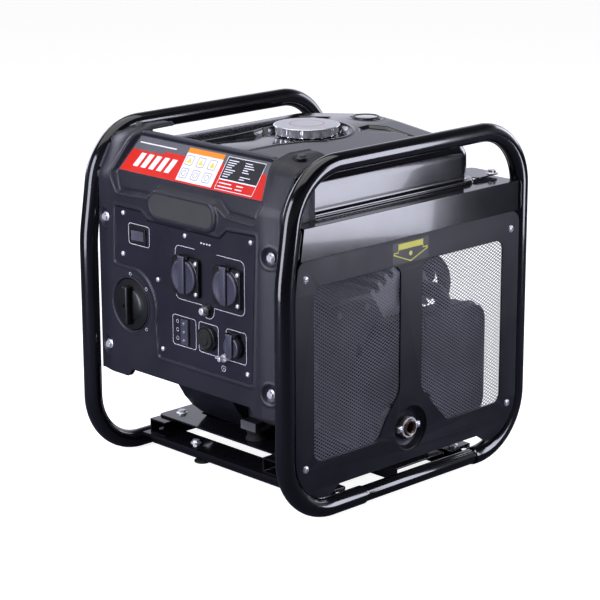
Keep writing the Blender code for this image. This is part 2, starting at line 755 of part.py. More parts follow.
def charge_port():
    """A round low-voltage outlet with a pull-off rubber cap."""
    x, z = CHARGE_PORT
    face = PLATE_Y - GAP
    body = turned("charge_port_body", [
        (0.0160, 0.0045), (0.0160, 0.0), (0.0120, 0.0), (0.0120, -0.020), (0.0, -0.020),
        (0.0, -0.016), (0.0090, -0.016), (0.0090, 0.0045),
    ], (x, face, z), (0, -1, 0), sides=24)
    black_satin(body)
    cap = turned("charge_port_cap", [
        (0.0, 0.0095), (0.0070, 0.0095), (0.0080, 0.0080), (0.0125, 0.0080), (0.0140, 0.0048),
        (0.0086, 0.0048), (0.0086, -0.006), (0.0, -0.006),
    ], (x, face, z), (0, -1, 0), sides=24)
    rubber(cap)


def rocker_switch():
    """A bezel with a rocker that tips about an upright pin."""
    x, z = ROCKER
    face = PLATE_Y - GAP
    outer = around(ROCKER, 0.0155, 0.0105, 0.0012)
    room = around(ROCKER, ROCKER_REACH + GAP, 0.0068)
    bezel = prism("rocker_bezel", outer, face - 0.0020, face, FRONT, holes=[room])
    sleeve = prism(
        "rocker_sleeve", around(ROCKER, 0.0130, 0.0080),
        face - 0.001, face + 0.018, FRONT, holes=[room], cutter=True,
    )
    black_satin(join(bezel, sleeve))
    pin_y = face + 0.002
    proud = Vector((math.cos(ROCKER_PROUD), math.sin(ROCKER_PROUD))) * ROCKER_REACH
    sunk = Vector((math.cos(ROCKER_SUNK), math.sin(ROCKER_SUNK))) * ROCKER_REACH
    rocker = prism("rocker_switch", [
        Vector((x - proud.x, pin_y - proud.y)), Vector((x, pin_y - 0.0038)),
        Vector((x + sunk.x, pin_y - sunk.y)), Vector((x + 0.0070, pin_y + 0.004)),
        Vector((x - 0.0070, pin_y + 0.004)),
    ], z - 0.0065, z + 0.0065, FLAT)
    pin = rod("rocker_pin", (x, pin_y, z - 0.0066), (x, pin_y, z + 0.0066), 0.0015, sides=12, cutter=True)
    return paint(join(rocker, pin), (0.10, 0.10, 0.12), 0.25)


def engine_dial():
    """The three-position engine switch: a disc with a bar grip and a stem."""
    x, z = DIAL
    disc = turned("engine_dial", [
        (0.0, 0.0015), (DIAL_RADIUS - 0.002, 0.0015), (DIAL_RADIUS, -0.0005), (DIAL_RADIUS, -0.006),
        (0.010, -0.006), (0.008, -0.026), (0.0, -0.026),
    ], (x, PANEL_Y, z), (0, -1, 0), sides=36)
    grip = block(
        "dial_grip", (x - 0.0055, PANEL_Y - 0.0125, z - 0.026), (x + 0.0055, PANEL_Y + 0.001, z + 0.026),
        bevel=0.002, cutter=True,
    )
    return paint(join(disc, grip), (0.012, 0.012, 0.013), 0.5)


def reset_button():
    """The circuit breaker's push button, in its threaded collar."""
    x, z = RESET
    face = PLATE_Y - GAP
    collar = turned("reset_collar", [
        (0.0088, 0.0060), (0.0088, 0.0), (0.0075, 0.0), (0.0075, -0.022), (0.0, -0.022),
        (0.0, -0.016), (0.0052, -0.016), (0.0052, 0.0060),
    ], (x, face, z), (0, -1, 0), sides=24)
    paint(collar, (0.55, 0.56, 0.60), 0.25, 0.9)
    button = turned("reset_button", [
        (0.0, 0.0125), (0.0040, 0.0125), (0.0049, 0.0110), (0.0049, -0.0100), (0.0, -0.0100),
    ], (x, face, z), (0, -1, 0), sides=24)
    paint(button, (0.02, 0.02, 0.022), 0.4)


def indicator_module():
    """The strip with the status lamps."""
    x, z = INDICATOR
    face = PLATE_Y - GAP
    bezel = prism("indicator_module", around(INDICATOR, 0.0078, 0.0178, 0.001), face - 0.0018, face, FRONT)
    body = block(
        "indicator_body", (x - 0.0060, face - 0.001, z - 0.0160), (x + 0.0060, face + 0.020, z + 0.0160),
        cutter=True,
    )
    return black_satin(join(bezel, body))


def ground_terminal():
    """The earth stud and its wing nut."""
    x, z = GROUND
    tip = PLATE_Y - 0.0125
    stud = rod("ground_stud", (x, tip, z), (x, PLATE_Y + 0.016, z), 0.0030, sides=16)
    back = PLATE_Y + CONTROL_PLATE + GAP
    head = rod("ground_stud_head", (x, back, z), (x, back + 0.0045, z), 0.0055, sides=6, cutter=True)
    bright_steel(join(stud, head))
    face = PLATE_Y - GAP
    nut = turned("wing_nut", [
        (0.0048, 0.0050), (0.0058, 0.0), (0.0033, 0.0), (0.0033, 0.0050),
    ], (x, face, z), (0, -1, 0), sides=16, ring=True)
    for side in (-1, 1):
        wing = block(
            "wing", (x + side * 0.0070 - 0.0028, face - 0.0095, z - 0.0009),
            (x + side * 0.0070 + 0.0028, face - 0.0012, z + 0.0009), cutter=True,
        )
        join(nut, wing)
    return bright_steel(nut)


def inverter_module():
    """The finned electronics box on a strip between the panel's side walls."""
    front = PANEL_Y + 0.036
    rear = front + 0.028
    half = 0.110
    low = 0.186
    high = 0.326
    teeth = 10
    pitch = 2 * half / teeth
    profile = [Vector((-half, rear)), Vector((-half, front)), Vector((half, front)), Vector((half, rear))]
    for i in range(teeth - 1, 0, -1):
        u = -half + i * pitch
        profile += [
            Vector((u + 0.0035, rear)), Vector((u + 0.0035, rear - 0.012)),
            Vector((u - 0.0035, rear - 0.012)), Vector((u - 0.0035, rear)),
        ]
    box = prism("inverter_module", profile, low, high, FLAT)
    room = INSIDE_X - PANEL_WALL - GAP
    strip = block("inverter_strip", (-room, front - 0.002, 0.245), (room, front + 0.002, 0.275), cutter=True)
    return cast_aluminium(join(box, strip))


# ---------------------------------------------------------------- fuel tank
def tank_profile(inset):
    """The tank's cross-section: upright sides and a top that falls away from the middle."""
    half = TANK_X - TANK_BRIM - inset
    low = SEAM_Z + 0.0005 if inset == 0 else SEAM_Z - 0.03
    shoulder = SEAM_Z + TANK_SHOULDER - inset
    ridge = SEAM_Z + TANK_RIDGE - inset
    return rounded([
        (half, low, 0.0), (half, shoulder, 0.022 - inset), (0.0, ridge, 0.35),
        (-half, shoulder, 0.022 - inset), (-half, low, 0.0),
    ], step=18.0)


def tank_length_profile(inset):
    """The tank from the side: its top is rounded off at the front and the rear."""
    front = TANK_FRONT + TANK_BRIM + inset
    rear = TANK_REAR - inset
    low = SEAM_Z - 0.05
    high = SEAM_Z + TANK_RIDGE - 0.002 - inset
    return rounded([
        (front, low, 0.0), (front, high, TANK_NOSE - inset), (rear, high, TANK_TAIL - inset), (rear, low, 0.0),
    ], step=18.0)


TANK_PEAK = max(point.y for point in tank_profile(0.0))
SEAT_Z = TANK_PEAK - FILLER_DEPTH


def tank_flange(name, low, high, cutter):
    """The seam flange round a half of the tank."""
    outline = rectangle(-TANK_X, TANK_X, TANK_FRONT, TANK_REAR + 0.008, 0.022)
    return prism(name, outline, low, high, FLAT, cutter=cutter)


def tank_upper():
    """The upper half of the tank, with the dished filler seat, its neck and two rear ears."""
    front = TANK_FRONT + TANK_BRIM
    wall = TANK_WALL
    seat = CAP_RADIUS + 0.0105
    shell = tank_flange("fuel_tank_upper", SEAM_Z, SEAM_Z + 0.002, False)
    outside = prism("tank_outside", tank_profile(0.0), front, TANK_REAR, FRONT, cutter=True)
    inside = prism("tank_inside", tank_profile(wall), front + wall, TANK_REAR - wall, FRONT, cutter=True)
    side = TANK_X + 0.02
    combine(outside, [prism("tank_outside_ends", tank_length_profile(0.0), -side, side, SIDE, cutter=True)],
            "INTERSECT")
    combine(inside, [prism("tank_inside_ends", tank_length_profile(wall), -side, side, SIDE, cutter=True)],
            "INTERSECT")
    boss = rod(
        "tank_boss", (0, CAP_Y, SEAT_Z - wall), (0, CAP_Y, TOP_Z + 0.05), seat + wall, sides=32, cutter=True
    )
    cut(inside, boss)
    dish = rod("tank_filler_dish", (0, CAP_Y, SEAT_Z), (0, CAP_Y, TOP_Z + 0.05), seat, sides=32, cutter=True)
    neck = rod(
        "tank_neck", (0, CAP_Y, SEAT_Z - 0.012), (0, CAP_Y, SEAT_Z + NECK_RISE), NECK_RADIUS, sides=32,
        cutter=True,
    )
    bore = rod(
        "tank_bore", (0, CAP_Y, SEAM_Z), (0, CAP_Y, TOP_Z + 0.05), NECK_RADIUS - 0.003, sides=32, cutter=True
    )
    gauge = rod(
        "tank_gauge_hole", (0, GAUGE_Y, SEAT_Z - 0.01), (0, GAUGE_Y, TOP_Z), GAUGE_RADIUS - 0.004, sides=24,
        cutter=True,
    )
    join(shell, outside)
    cut(shell, inside, dish)
    join(shell, neck)
    cut(shell, bore, gauge)
    for side in (-1, 1):
        near = side * (TANK_X - 0.004)
        far = side * (TANK_X - 0.055)
        ear = block(
            "tank_ear", (min(near, far), TANK_REAR + 0.004, SEAM_Z + 0.0002),
            (max(near, far), REAR_Y - TUBE_RADIUS, SEAM_Z + 0.0018), cutter=True,
        )
        join(shell, ear)
    return black_gloss(shell)


def tank_lower():
    """The lower half of the tank: a pan with its seam flange on the rails."""
    top = SEAM_Z - GAP
    pan = tank_flange("fuel_tank_lower", RAIL_TOP + GAP, top, False)
    room_x = RAIL_X - RAIL_FLANGE - 0.002
    front = TANK_FRONT + 0.012
    rear = TANK_REAR - 0.012
    body = block("tank_pan", (-room_x, front, SEAM_Z - TANK_DEPTH), (room_x, rear, top - 0.001), cutter=True)
    wall = TANK_WALL
    hollow = block(
        "tank_pan_inside", (-room_x + wall, front + wall, SEAM_Z - TANK_DEPTH + wall),
        (room_x - wall, rear - wall, top + 0.01), cutter=True,
    )
    return black_gloss(cut(join(pan, body), hollow))


def filler_cap():
    """The gasket, and the ribbed cap that locks on it with a quarter turn."""
    neck_top = SEAT_Z + NECK_RISE
    gasket = turned("fuel_cap_gasket", [
        (NECK_RADIUS, 0.0015), (NECK_RADIUS, 0.0), (NECK_RADIUS - 0.006, 0.0), (NECK_RADIUS - 0.006, 0.0015),
    ], (0, CAP_Y, neck_top + GAP), (0, 0, 1), sides=32, ring=True)
    rubber(gasket)
    under = neck_top + GAP + 0.0015 + GAP
    bottom = SEAT_Z + 0.0010
    top = bottom + CAP_HEIGHT
    room = NECK_RADIUS + 0.002
    plug = NECK_RADIUS - 0.0065
    cap = turned("fuel_cap", [
        (0.0, top), (CAP_RADIUS - 0.004, top), (CAP_RADIUS, top - 0.0025), (CAP_RADIUS, bottom),
        (room, bottom), (room, under), (plug, under), (plug, SEAT_Z - 0.010), (0.0, SEAT_Z - 0.010),
    ], (0, CAP_Y, 0), (0, 0, 1), sides=32)
    return paint(cap, (0.80, 0.80, 0.82), 0.12, 1.0)


def fuel_gauge():
    """The round level gauge in the top of the tank, with its float stem."""
    base = TANK_PEAK + GAP
    gauge = turned("fuel_gauge", [
        (0.0, 0.0020), (GAUGE_RADIUS - 0.003, 0.0020), (GAUGE_RADIUS - 0.001, 0.0030), (GAUGE_RADIUS, 0.0),
        (GAUGE_RADIUS - 0.0045, 0.0), (GAUGE_RADIUS - 0.0045, -0.016), (0.003, -0.016), (0.003, -0.034),
        (0.0, -0.034),
    ], (0, GAUGE_Y, base), (0, 0, 1), sides=32)
    return paint(gauge, (0.05, 0.05, 0.055), 0.3)


# ---------------------------------------------------------------- engine
def along(u, v):
    """A point of the YZ plane, u along the cylinder axis from the crank axis and v across it."""
    c = math.cos(CYLINDER_TILT)
    s = math.sin(CYLINDER_TILT)
    return Vector((CRANK_Y + u * c - v * s, CRANK_Z + u * s + v * c))


def crankcase():
    """The crankcase: open on the right for its cover, with a bore for the shaft and four feet."""
    deck_low = along(CASE_DECK, -0.046)
    deck_high = along(CASE_DECK, 0.046)
    outline = rounded([
        (-0.098, FEET_Z + 0.008, 0.008), (0.078, FEET_Z + 0.008, 0.008), (deck_low.x, deck_low.y, 0.0),
        (deck_high.x, deck_high.y, 0.0), (-0.052, 0.240, 0.02), (-0.098, 0.196, 0.02),
    ])
    case = prism("crankcase", outline, CASE_LEFT, CASE_RIGHT, SIDE)
    dip_low, dip_high = dipstick_line()
    axis = (dip_high - dip_low).normalized()
    spout = rod(
        "case_dipstick_spout", dip_low + axis * 0.010, dip_low + axis * DIPSTICK_SEAT, 0.0105, cutter=True
    )
    join(case, spout)
    middle = (CRANK_Y, CRANK_Z)
    hollow = rod(
        "case_hollow", (CASE_LEFT + 0.012, *middle), (CASE_RIGHT + 0.01, *middle), 0.066, sides=32, cutter=True
    )
    shaft = rod(
        "case_shaft_bore", (CASE_LEFT - 0.01, *middle), (CASE_RIGHT, *middle),
        SHAFT_RADIUS + SHAFT_CLEARANCE, sides=32, cutter=True,
    )
    mouth = along(0.04, 0.0)
    far = along(CASE_DECK + 0.02, 0.0)
    x = (CASE_LEFT + CASE_RIGHT) / 2
    passage = rod("case_cylinder_mouth", (x, *mouth), (x, *far), BORE_RADIUS + 0.002, sides=24, cutter=True)
    dip = rod("case_dipstick_bore", dip_low, dip_high, 0.0068, sides=16, cutter=True)
    cut(case, hollow, shaft, passage, dip)
    for foot_x in (CASE_LEFT + 0.014, CASE_RIGHT - 0.014):
        for foot_y in (-0.098, 0.066):
            foot = block(
                "case_foot", (foot_x - 0.014, foot_y - 0.014, FEET_Z),
                (foot_x + 0.014, foot_y + 0.014, FEET_Z + 0.012), cutter=True,
            )
            join(case, foot)
    return cast_aluminium(case)


def dipstick_line():
    """Where the dipstick goes into the front of the crankcase."""
    low = Vector((0.030, -0.080, 0.100))
    return low, low + Vector((0.0, -0.84, 0.5426)) * 0.060


def oil_dipstick():
    low, high = dipstick_line()
    axis = (high - low).normalized()
    seat = low + axis * (DIPSTICK_SEAT + GAP)
    stick = rod("oil_dipstick", low + axis * 0.002, seat + axis * 0.004, 0.0062)
    knob = rod("dipstick_knob", seat, seat + axis * 0.012, 0.0130, cutter=True)
    return paint(join(stick, knob), (0.03, 0.03, 0.03), 0.5)


def case_cover():
    """The cover on the right of the crankcase, with the shaft's other bearing boss."""
    deck_low = along(CASE_DECK - 0.004, -0.042)
    deck_high = along(CASE_DECK - 0.004, 0.042)
    outline = rounded([
        (-0.096, FEET_Z + 0.012, 0.01), (0.072, FEET_Z + 0.012, 0.01), (deck_low.x, deck_low.y, 0.006),
        (deck_high.x, deck_high.y, 0.006), (-0.052, 0.236, 0.02), (-0.096, 0.194, 0.02),
    ])
    left = CASE_RIGHT + GAP
    cover = prism("crankcase_cover", outline, left, left + 0.007, SIDE)
    middle = (CRANK_Y, CRANK_Z)
    boss = rod("cover_boss", (left - 0.010, *middle), (left + 0.002, *middle), 0.026, sides=24, cutter=True)
    bearing = rod(
        "cover_bearing", (left - 0.02, *middle), (left + 0.003, *middle), SHAFT_RADIUS + SHAFT_CLEARANCE,
        sides=32, cutter=True,
    )
    return cast_aluminium(cut(join(cover, boss), bearing))


def finned(name, start, length, core, reach, fins, left, right):
    """A block with cooling fins above and below, square to the cylinder axis."""
    upper = []
    pitch = length / fins
    for i in range(fins):
        u = start + i * pitch
        rise = u + pitch * 0.15
        fall = u + pitch * 0.6
        upper += [(u, core), (rise, core), (rise, reach), (fall, reach), (fall, core)]
    upper.append((start + length, core))
    lower = [(u, -v) for u, v in reversed(upper)]
    outline = [along(u, v) for u, v in upper + lower]
    return prism(name, outline, left, right, SIDE)


def cylinder():
    x = (CASE_LEFT + CASE_RIGHT) / 2
    start = CASE_DECK + GAP
    barrel = finned(
        "cylinder", start, CYLINDER_LENGTH, 0.034, 0.046, 4, CASE_LEFT + 0.004, CASE_RIGHT - 0.004
    )
    low = along(CASE_DECK - 0.02, 0.0)
    high = along(CASE_DECK + CYLINDER_LENGTH + 0.02, 0.0)
    bore = rod("cylinder_bore", (x, *low), (x, *high), BORE_RADIUS, sides=12, cutter=True)
    return cast_aluminium(cut(barrel, bore))


def cylinder_head():
    start = CASE_DECK + CYLINDER_LENGTH + 2 * GAP
    head = finned(
        "cylinder_head", start, HEAD_LENGTH, 0.036, 0.046, 3, CASE_LEFT + 0.004, CASE_RIGHT - 0.004
    )
    return cast_aluminium(head)


def valve_cover():
    start = CASE_DECK + CYLINDER_LENGTH + HEAD_LENGTH + 3 * GAP
    end = start + COVER_LENGTH
    corners = [(start, -0.034), (end, -0.028), (end, 0.028), (start, 0.034)]
    outline = rounded([(*along(u, v), 0.0 if u == start else 0.008) for u, v in corners])
    return black_satin(prism("valve_cover", outline, CASE_LEFT + 0.010, CASE_RIGHT - 0.010, SIDE))


def spark_plug_cap():
    """The ignition lead's boot on the plug, on top of the head."""
    u = CASE_DECK + CYLINDER_LENGTH + HEAD_LENGTH * 0.45
    x = 0.030
    base = Vector((x, *along(u, 0.046 + GAP)))
    bend = Vector((x, *along(u, 0.068)))
    tip = bend + Vector((-0.030, -0.006, 0.006))
    line = [base, base.lerp(bend, 0.7), bend.lerp(tip, 0.25), tip]
    return rubber(tube("spark_plug_cap", line, 0.0085, sides=10))


def crankshaft():
    """The shaft with its two webs and crankpin."""
    middle = (CRANK_Y, CRANK_Z)
    pin_offset = along(0.020, 0.0)
    web = 0.032
    start = FAN_LEFT + 0.030
    shaft = rod("crankshaft", (start, *middle), (0.024, *middle), SHAFT_RADIUS, sides=24)
    parts = [
        rod("crank_web_left", (0.020, *middle), (0.032, *middle), web, sides=32, cutter=True),
        rod("crank_pin", (0.030, *pin_offset), (0.060, *pin_offset), 0.0115, sides=20, cutter=True),
        rod("crank_web_right", (0.058, *middle), (0.070, *middle), web, sides=32, cutter=True),
        rod("crank_stub", (0.068, *middle), (CASE_RIGHT - 0.001, *middle), SHAFT_RADIUS, sides=24, cutter=True),
    ]
    return bright_steel(join(shaft, *parts))


def alternator():
    """The stator on the crankcase, and the rotor cup with its cooling fan."""
    middle = (CRANK_Y, CRANK_Z)
    right = CASE_LEFT - GAP
    stator = turned("alternator_stator", [
        (STATOR_RADIUS, 0.0), (STATOR_RADIUS, 0.034), (0.036, 0.034), (0.018, 0.046), (0.018, 0.0),
    ], (right - 0.046, *middle), (1, 0, 0), sides=28, ring=True)
    paint(stator, (0.45, 0.20, 0.08), 0.4, 0.6)
    cup_left = right - 0.060
    bore = SHAFT_RADIUS + GAP
    rotor = turned("alternator_rotor", [
        (ROTOR_RADIUS, 0.0), (ROTOR_RADIUS, 0.044), (ROTOR_RADIUS - 0.010, 0.044),
        (ROTOR_RADIUS - 0.010, 0.010), (0.024, 0.010), (0.024, 0.012), (bore, 0.012), (bore, -0.006),
        (0.024, -0.006), (0.024, 0.0),
    ], (cup_left, *middle), (1, 0, 0), sides=28, ring=True)
    blades = 9
    for i in range(blades):
        blade = block("fan_blade", (-0.022, -0.0015, 0.034), (0.002, 0.0015, 0.098), cutter=True)
        turn = Matrix.Rotation(2 * math.pi * i / blades, 4, "X")
        swept = Matrix.Rotation(math.radians(12), 4, "X")
        blade.matrix_world = Matrix.Translation((cup_left, *middle)) @ turn @ blade.matrix_world @ swept
        join(rotor, blade)
    disc = turned("fan_disc", [
        (0.098, 0.0), (0.098, 0.002), (0.0735, 0.002), (0.0735, 0.0),
    ], (cup_left + 0.0002, *middle), (1, 0, 0), sides=28, ring=True, cutter=True)
    join(rotor, disc)
    return dark_steel(rotor)


def fan_housing():
    """The round cowl round the fan, bolted to the left of the crankcase."""
    length = CASE_LEFT - GAP - FAN_LEFT
    inner = FAN_RADIUS - 0.003
    cowl = turned("fan_housing", [
        (FAN_RADIUS, 0.006), (FAN_RADIUS, length), (0.080, length), (0.080, length - 0.003),
        (inner, length - 0.003), (inner, 0.008), (0.070, 0.003), (0.070, 0.0), (FAN_RADIUS - 0.006, 0.0),
    ], (FAN_LEFT, CRANK_Y, CRANK_Z), (1, 0, 0), sides=40, ring=True)
    return black_satin(cowl)


def recoil_starter():
    """The starter's cover, the rope pulley on its post, and the grip on its rope."""
    middle = (CRANK_Y, CRANK_Z)
    depth = FAN_LEFT - GAP - RECOIL_LEFT
    inner = RECOIL_RADIUS - 0.003
    cover = turned("recoil_cover", [
        (0.0, 0.0),
        (RECOIL_RADIUS - 0.008, 0.0), (RECOIL_RADIUS, 0.007), (RECOIL_RADIUS, depth), (inner, depth),
        (inner, 0.009), (inner - 0.006, 0.003), (0.010, 0.003), (0.010, 0.022), (0.0, 0.022),
    ], (RECOIL_LEFT, *middle), (1, 0, 0), sides=32)
    rope_z = CRANK_Z + PULLEY_RADIUS
    groove_x = RECOIL_LEFT + 0.014
    slot = rod(
        "recoil_rope_hole", (groove_x, CRANK_Y, rope_z), (groove_x, CRANK_Y + 0.2, rope_z),
        ROPE_RADIUS + 0.0008, sides=12, cutter=True,
    )
    guide = rod(
        "recoil_rope_guide", (groove_x, CRANK_Y + 0.0665, rope_z), (groove_x, CRANK_Y + RECOIL_RADIUS, rope_z),
        0.007, cutter=True,
    )
    black_satin(cut(join(cover, guide), slot))
    flange = PULLEY_RADIUS + 0.005
    pulley = turned("recoil_pulley", [
        (flange, -0.007), (flange, -0.004), (PULLEY_RADIUS - ROPE_RADIUS - GAP, -0.0028),
        (PULLEY_RADIUS - ROPE_RADIUS - GAP, 0.0028), (flange, 0.004), (flange, 0.007), (0.0104, 0.007),
        (0.0104, -0.007),
    ], (groove_x, *middle), (1, 0, 0), sides=24, ring=True)
    paint(pulley, (0.25, 0.25, 0.26), 0.5)
    exit_y = CRANK_Y + RECOIL_RADIUS + 0.002
    rope = rod(
        "starter_handle", (groove_x, CRANK_Y - 0.058, rope_z), (groove_x, exit_y + 0.006, rope_z), ROPE_RADIUS,
        sides=10,
    )
    grip = block(
        "handle_grip", (groove_x - 0.009, exit_y, rope_z - 0.030),
        (groove_x + 0.009, exit_y + 0.022, rope_z + 0.030), bevel=0.006, cutter=True,
    )
    return paint(join(rope, grip), (0.02, 0.02, 0.02), 0.55)


def muffler():
    """The silencer box with the bent pipe from the head."""
    left = CASE_RIGHT + 0.012
    box = prism("muffler", rounded([
        (-0.050, 0.052, 0.016), (0.190, 0.052, 0.020), (0.190, 0.205, 0.020), (0.024, 0.205, 0.020),
        (-0.050, 0.118, 0.030),
    ], 30.0), left, MUFFLER_RIGHT, SIDE)
    port = along(CASE_DECK + CYLINDER_LENGTH + 0.020, -0.018)
    x = (left + MUFFLER_RIGHT) / 2
    pipe = tube("muffler_pipe", [
        (CASE_RIGHT - 0.004 + GAP, *port), (x - 0.010, *port), (x, port.x, port.y - 0.010), (x, port.x, 0.198),
    ], 0.011, sides=12, cutter=True)
    return dark_steel(join(box, pipe))


def exhaust_outlet():
    """The outlet pipe and its clamp, which stand in the dished hole of the side panel."""
    y, z = DIMPLE
    start = MUFFLER_RIGHT + GAP
    end = SIDE_X + 0.001
    length = end - start
    pipe = turned("exhaust_outlet", [
        (0.016, 0.0), (0.016, 0.003), (0.0085, 0.003), (0.0085, length - 0.010), (0.0110, length - 0.010),
        (0.0110, length - 0.002), (0.0085, length), (0.0062, length), (0.0062, 0.004), (0.0, 0.004), (0.0, 0.0),
    ], (start, y, z), (1, 0, 0), sides=24)
    for side in (-1, 1):
        lug = block(
            "outlet_lug", (end - 0.0085, y + side * 0.0140 - 0.0055, z - 0.003),
            (end - 0.0035, y + side * 0.0140 + 0.0055, z + 0.003), cutter=True,
        )
        join(pipe, lug)
    return bright_steel(pipe)


def heat_shield():
    """The bent guard over the exhaust port, on the right of the head."""
    centre = along(CASE_DECK + CYLINDER_LENGTH + 0.020, -0.018)
    outer = []
    inner = []
    for degrees in range(-20, 201, 20):
        turn = math.radians(degrees)
        outer.append(Vector((centre.x + 0.046 * math.cos(turn), centre.y + 0.046 * math.sin(turn))))
        inner.append(Vector((centre.x + 0.030 * math.cos(turn), centre.y + 0.030 * math.sin(turn))))
    left = CASE_RIGHT - 0.004 + GAP
    return dark_steel(prism("heat_shield", outer + inner[::-1], left, left + 0.010, SIDE))


def intake():
    """The carburettor on the left of the head, and the air cleaner box on it."""
    port = along(CASE_DECK + CYLINDER_LENGTH + HEAD_LENGTH / 2, 0.0)
    head_left = CASE_LEFT + 0.004 - GAP
    body = block(
        "carburettor", (head_left - 0.034, port.x - 0.016, port.y - 0.020),
        (head_left, port.x + 0.016, port.y + 0.016), bevel=0.003,
    )
    bowl_y = port.x + 0.004
    bowl_x = head_left - 0.017
    bowl = rod(
        "carburettor_bowl", (bowl_x, bowl_y, port.y - 0.042), (bowl_x, bowl_y, port.y - 0.018), 0.012,
        sides=20, cutter=True,
    )
    cast_aluminium(join(body, bowl))
    right = head_left - 0.034 - GAP
    box = block(
        "air_cleaner_box", (right - 0.060, port.x - 0.004, port.y - 0.050),
        (right, port.x + 0.062, port.y + 0.045), bevel=0.008,
    )
    return black_satin(box)


# ---------------------------------------------------------------- assembly
def build_frame():
    frame_loop("frame_loop_left", -LOOP_X)
    frame_loop("frame_loop_right", LOOP_X)
    cross_member("cross_member_front", -1)
    cross_member("cross_member_rear", 1)
    bed_tray()
    bed_channel("bed_channel_left", *LEFT_CHANNEL)
    bed_channel("bed_channel_right", *RIGHT_CHANNEL)
    engine_base_plate()
    rubber_foot()
    tank_rail("tank_rail_left", -1)
    tank_rail("tank_rail_right", 1)
    side_panel()
    mesh_screen()


def build_panel():
    panel_housing()
    control_plate()
    for side, x in zip(("left", "right"), SOCKET_X):
        name = "socket_" + side
        socket(name, x, SOCKET_Z, SOCKET_SIZE, 0.0185, 0.030, False)
        socket_lid(name + "_lid", x, SOCKET_Z, SOCKET_SIZE, SOCKET_LID)
    socket("dc_socket", *DC_SOCKET, 0.030, 0.0105, 0.022, True)
    socket_lid("dc_socket_lid", *DC_SOCKET, 0.030, 0.0135)
    charge_port()
    rocker_switch()
    engine_dial()
    reset_button()
    indicator_module()
    ground_terminal()
    inverter_module()


def build_tank():
    tank_upper()
    tank_lower()
    filler_cap()
    fuel_gauge()


def build_engine():
    number = 0
    for x in (CASE_LEFT + 0.014, CASE_RIGHT - 0.014):
        for y in (-0.098, 0.066):
            number += 1
            engine_mount("engine_mount_" + str(number), x, y)
    crankcase()
    case_cover()
    oil_dipstick()
    cylinder()
    cylinder_head()
    valve_cover()
    spark_plug_cap()
    crankshaft()
    alternator()
    fan_housing()
    recoil_starter()
    muffler()
    exhaust_outlet()
    heat_shield()
    intake()


start_scene()
build_frame()
build_panel()
build_tank()
build_engine()
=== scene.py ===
"""The looks of the portable generator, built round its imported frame."""
import math

import bmesh
import bpy
import numpy as np
from mathutils import Matrix, Vector


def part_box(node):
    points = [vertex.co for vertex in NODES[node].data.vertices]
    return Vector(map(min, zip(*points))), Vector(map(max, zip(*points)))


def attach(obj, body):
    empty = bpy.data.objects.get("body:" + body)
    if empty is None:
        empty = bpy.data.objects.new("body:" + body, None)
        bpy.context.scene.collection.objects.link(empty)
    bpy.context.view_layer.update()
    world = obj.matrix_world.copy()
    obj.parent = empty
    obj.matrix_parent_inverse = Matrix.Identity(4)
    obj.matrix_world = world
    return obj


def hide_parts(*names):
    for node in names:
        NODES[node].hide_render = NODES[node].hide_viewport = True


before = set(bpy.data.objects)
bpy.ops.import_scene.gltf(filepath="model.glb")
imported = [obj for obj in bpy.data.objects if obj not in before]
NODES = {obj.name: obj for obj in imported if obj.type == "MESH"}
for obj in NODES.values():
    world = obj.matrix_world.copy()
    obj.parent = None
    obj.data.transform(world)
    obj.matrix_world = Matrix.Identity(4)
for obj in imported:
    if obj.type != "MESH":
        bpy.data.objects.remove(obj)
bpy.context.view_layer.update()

# ---------------------------------------------------------------- sizes read from the frame
LOOP_LOW, LOOP_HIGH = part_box("frame_loop_right")
TUBE = (LOOP_HIGH.x - LOOP_LOW.x) / 2
LOOP_X = LOOP_HIGH.x - TUBE
FRONT_Y = LOOP_LOW.y + TUBE
REAR_Y = LOOP_HIGH.y - TUBE
TOP_Z = LOOP_HIGH.z - TUBE
PANEL_LOW, PANEL_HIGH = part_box("control_panel_housing")
PANEL_X = PANEL_HIGH.x
PANEL_Y = FRONT_Y + 0.0015
PLATE_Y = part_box("control_plate")[0].y
RAIL_LOW, RAIL_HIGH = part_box("tank_rail_right")
SIDE_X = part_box("side_panel_right")[1].x
UPPER_LOW, UPPER_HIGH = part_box("fuel_tank_upper")
CAP_LOW, CAP_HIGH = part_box("fuel_cap")
CAP_RADIUS = (CAP_HIGH.x - CAP_LOW.x) / 2


def middle_of(node):
    low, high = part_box(node)
    return (low + high) / 2


CAP_Y = middle_of("fuel_cap").y
GAUGE_Y = middle_of("fuel_gauge").y
CRANK = middle_of("crankshaft")
DIAL_AT = (middle_of("engine_dial").x, middle_of("engine_dial").z)

FRONT = Matrix(((1, 0, 0), (0, 0, -1), (0, 1, 0))).to_4x4()   # u = X, v = Z, out = -Y
SIDE = Matrix(((0, 0, 1), (1, 0, 0), (0, 1, 0))).to_4x4()     # u = Y, v = Z, out = +X
FLAT = Matrix.Identity(4)                                     # u = X, v = Y, out = +Z
UP, OUT, RIGHT = (0, 0, 1), (0, -1, 0), (1, 0, 0)
SIDES = (("left", -1), ("right", 1))
LEAN = math.tan(math.radians(8.74))                           # how the front posts lean back,
LEAN_Z = 0.306                                                # and the height where that begins


# ---------------------------------------------------------------- materials
SLOT_OF = {}


def add(tree, kind, inputs=None, **settings):
    """A shader node. An input given as another node's output is linked to it."""
    node = tree.nodes.new("ShaderNode" + kind)
    for key, value in settings.items():
        setattr(node, key, value)
    for key, value in (inputs or {}).items():
        if isinstance(value, bpy.types.NodeSocket):
            tree.links.new(value, node.inputs[key])
        else:
            node.inputs[key].default_value = value
    return node


def ranged(tree, value, low, high, first=0.0, last=1.0, kind="LINEAR"):
    """A value between low and high, as one between first and last."""
    inputs = {"Value": value, "From Min": low, "From Max": high, "To Min": first, "To Max": last}
    return add(tree, "MapRange", inputs, interpolation_type=kind).outputs["Result"]


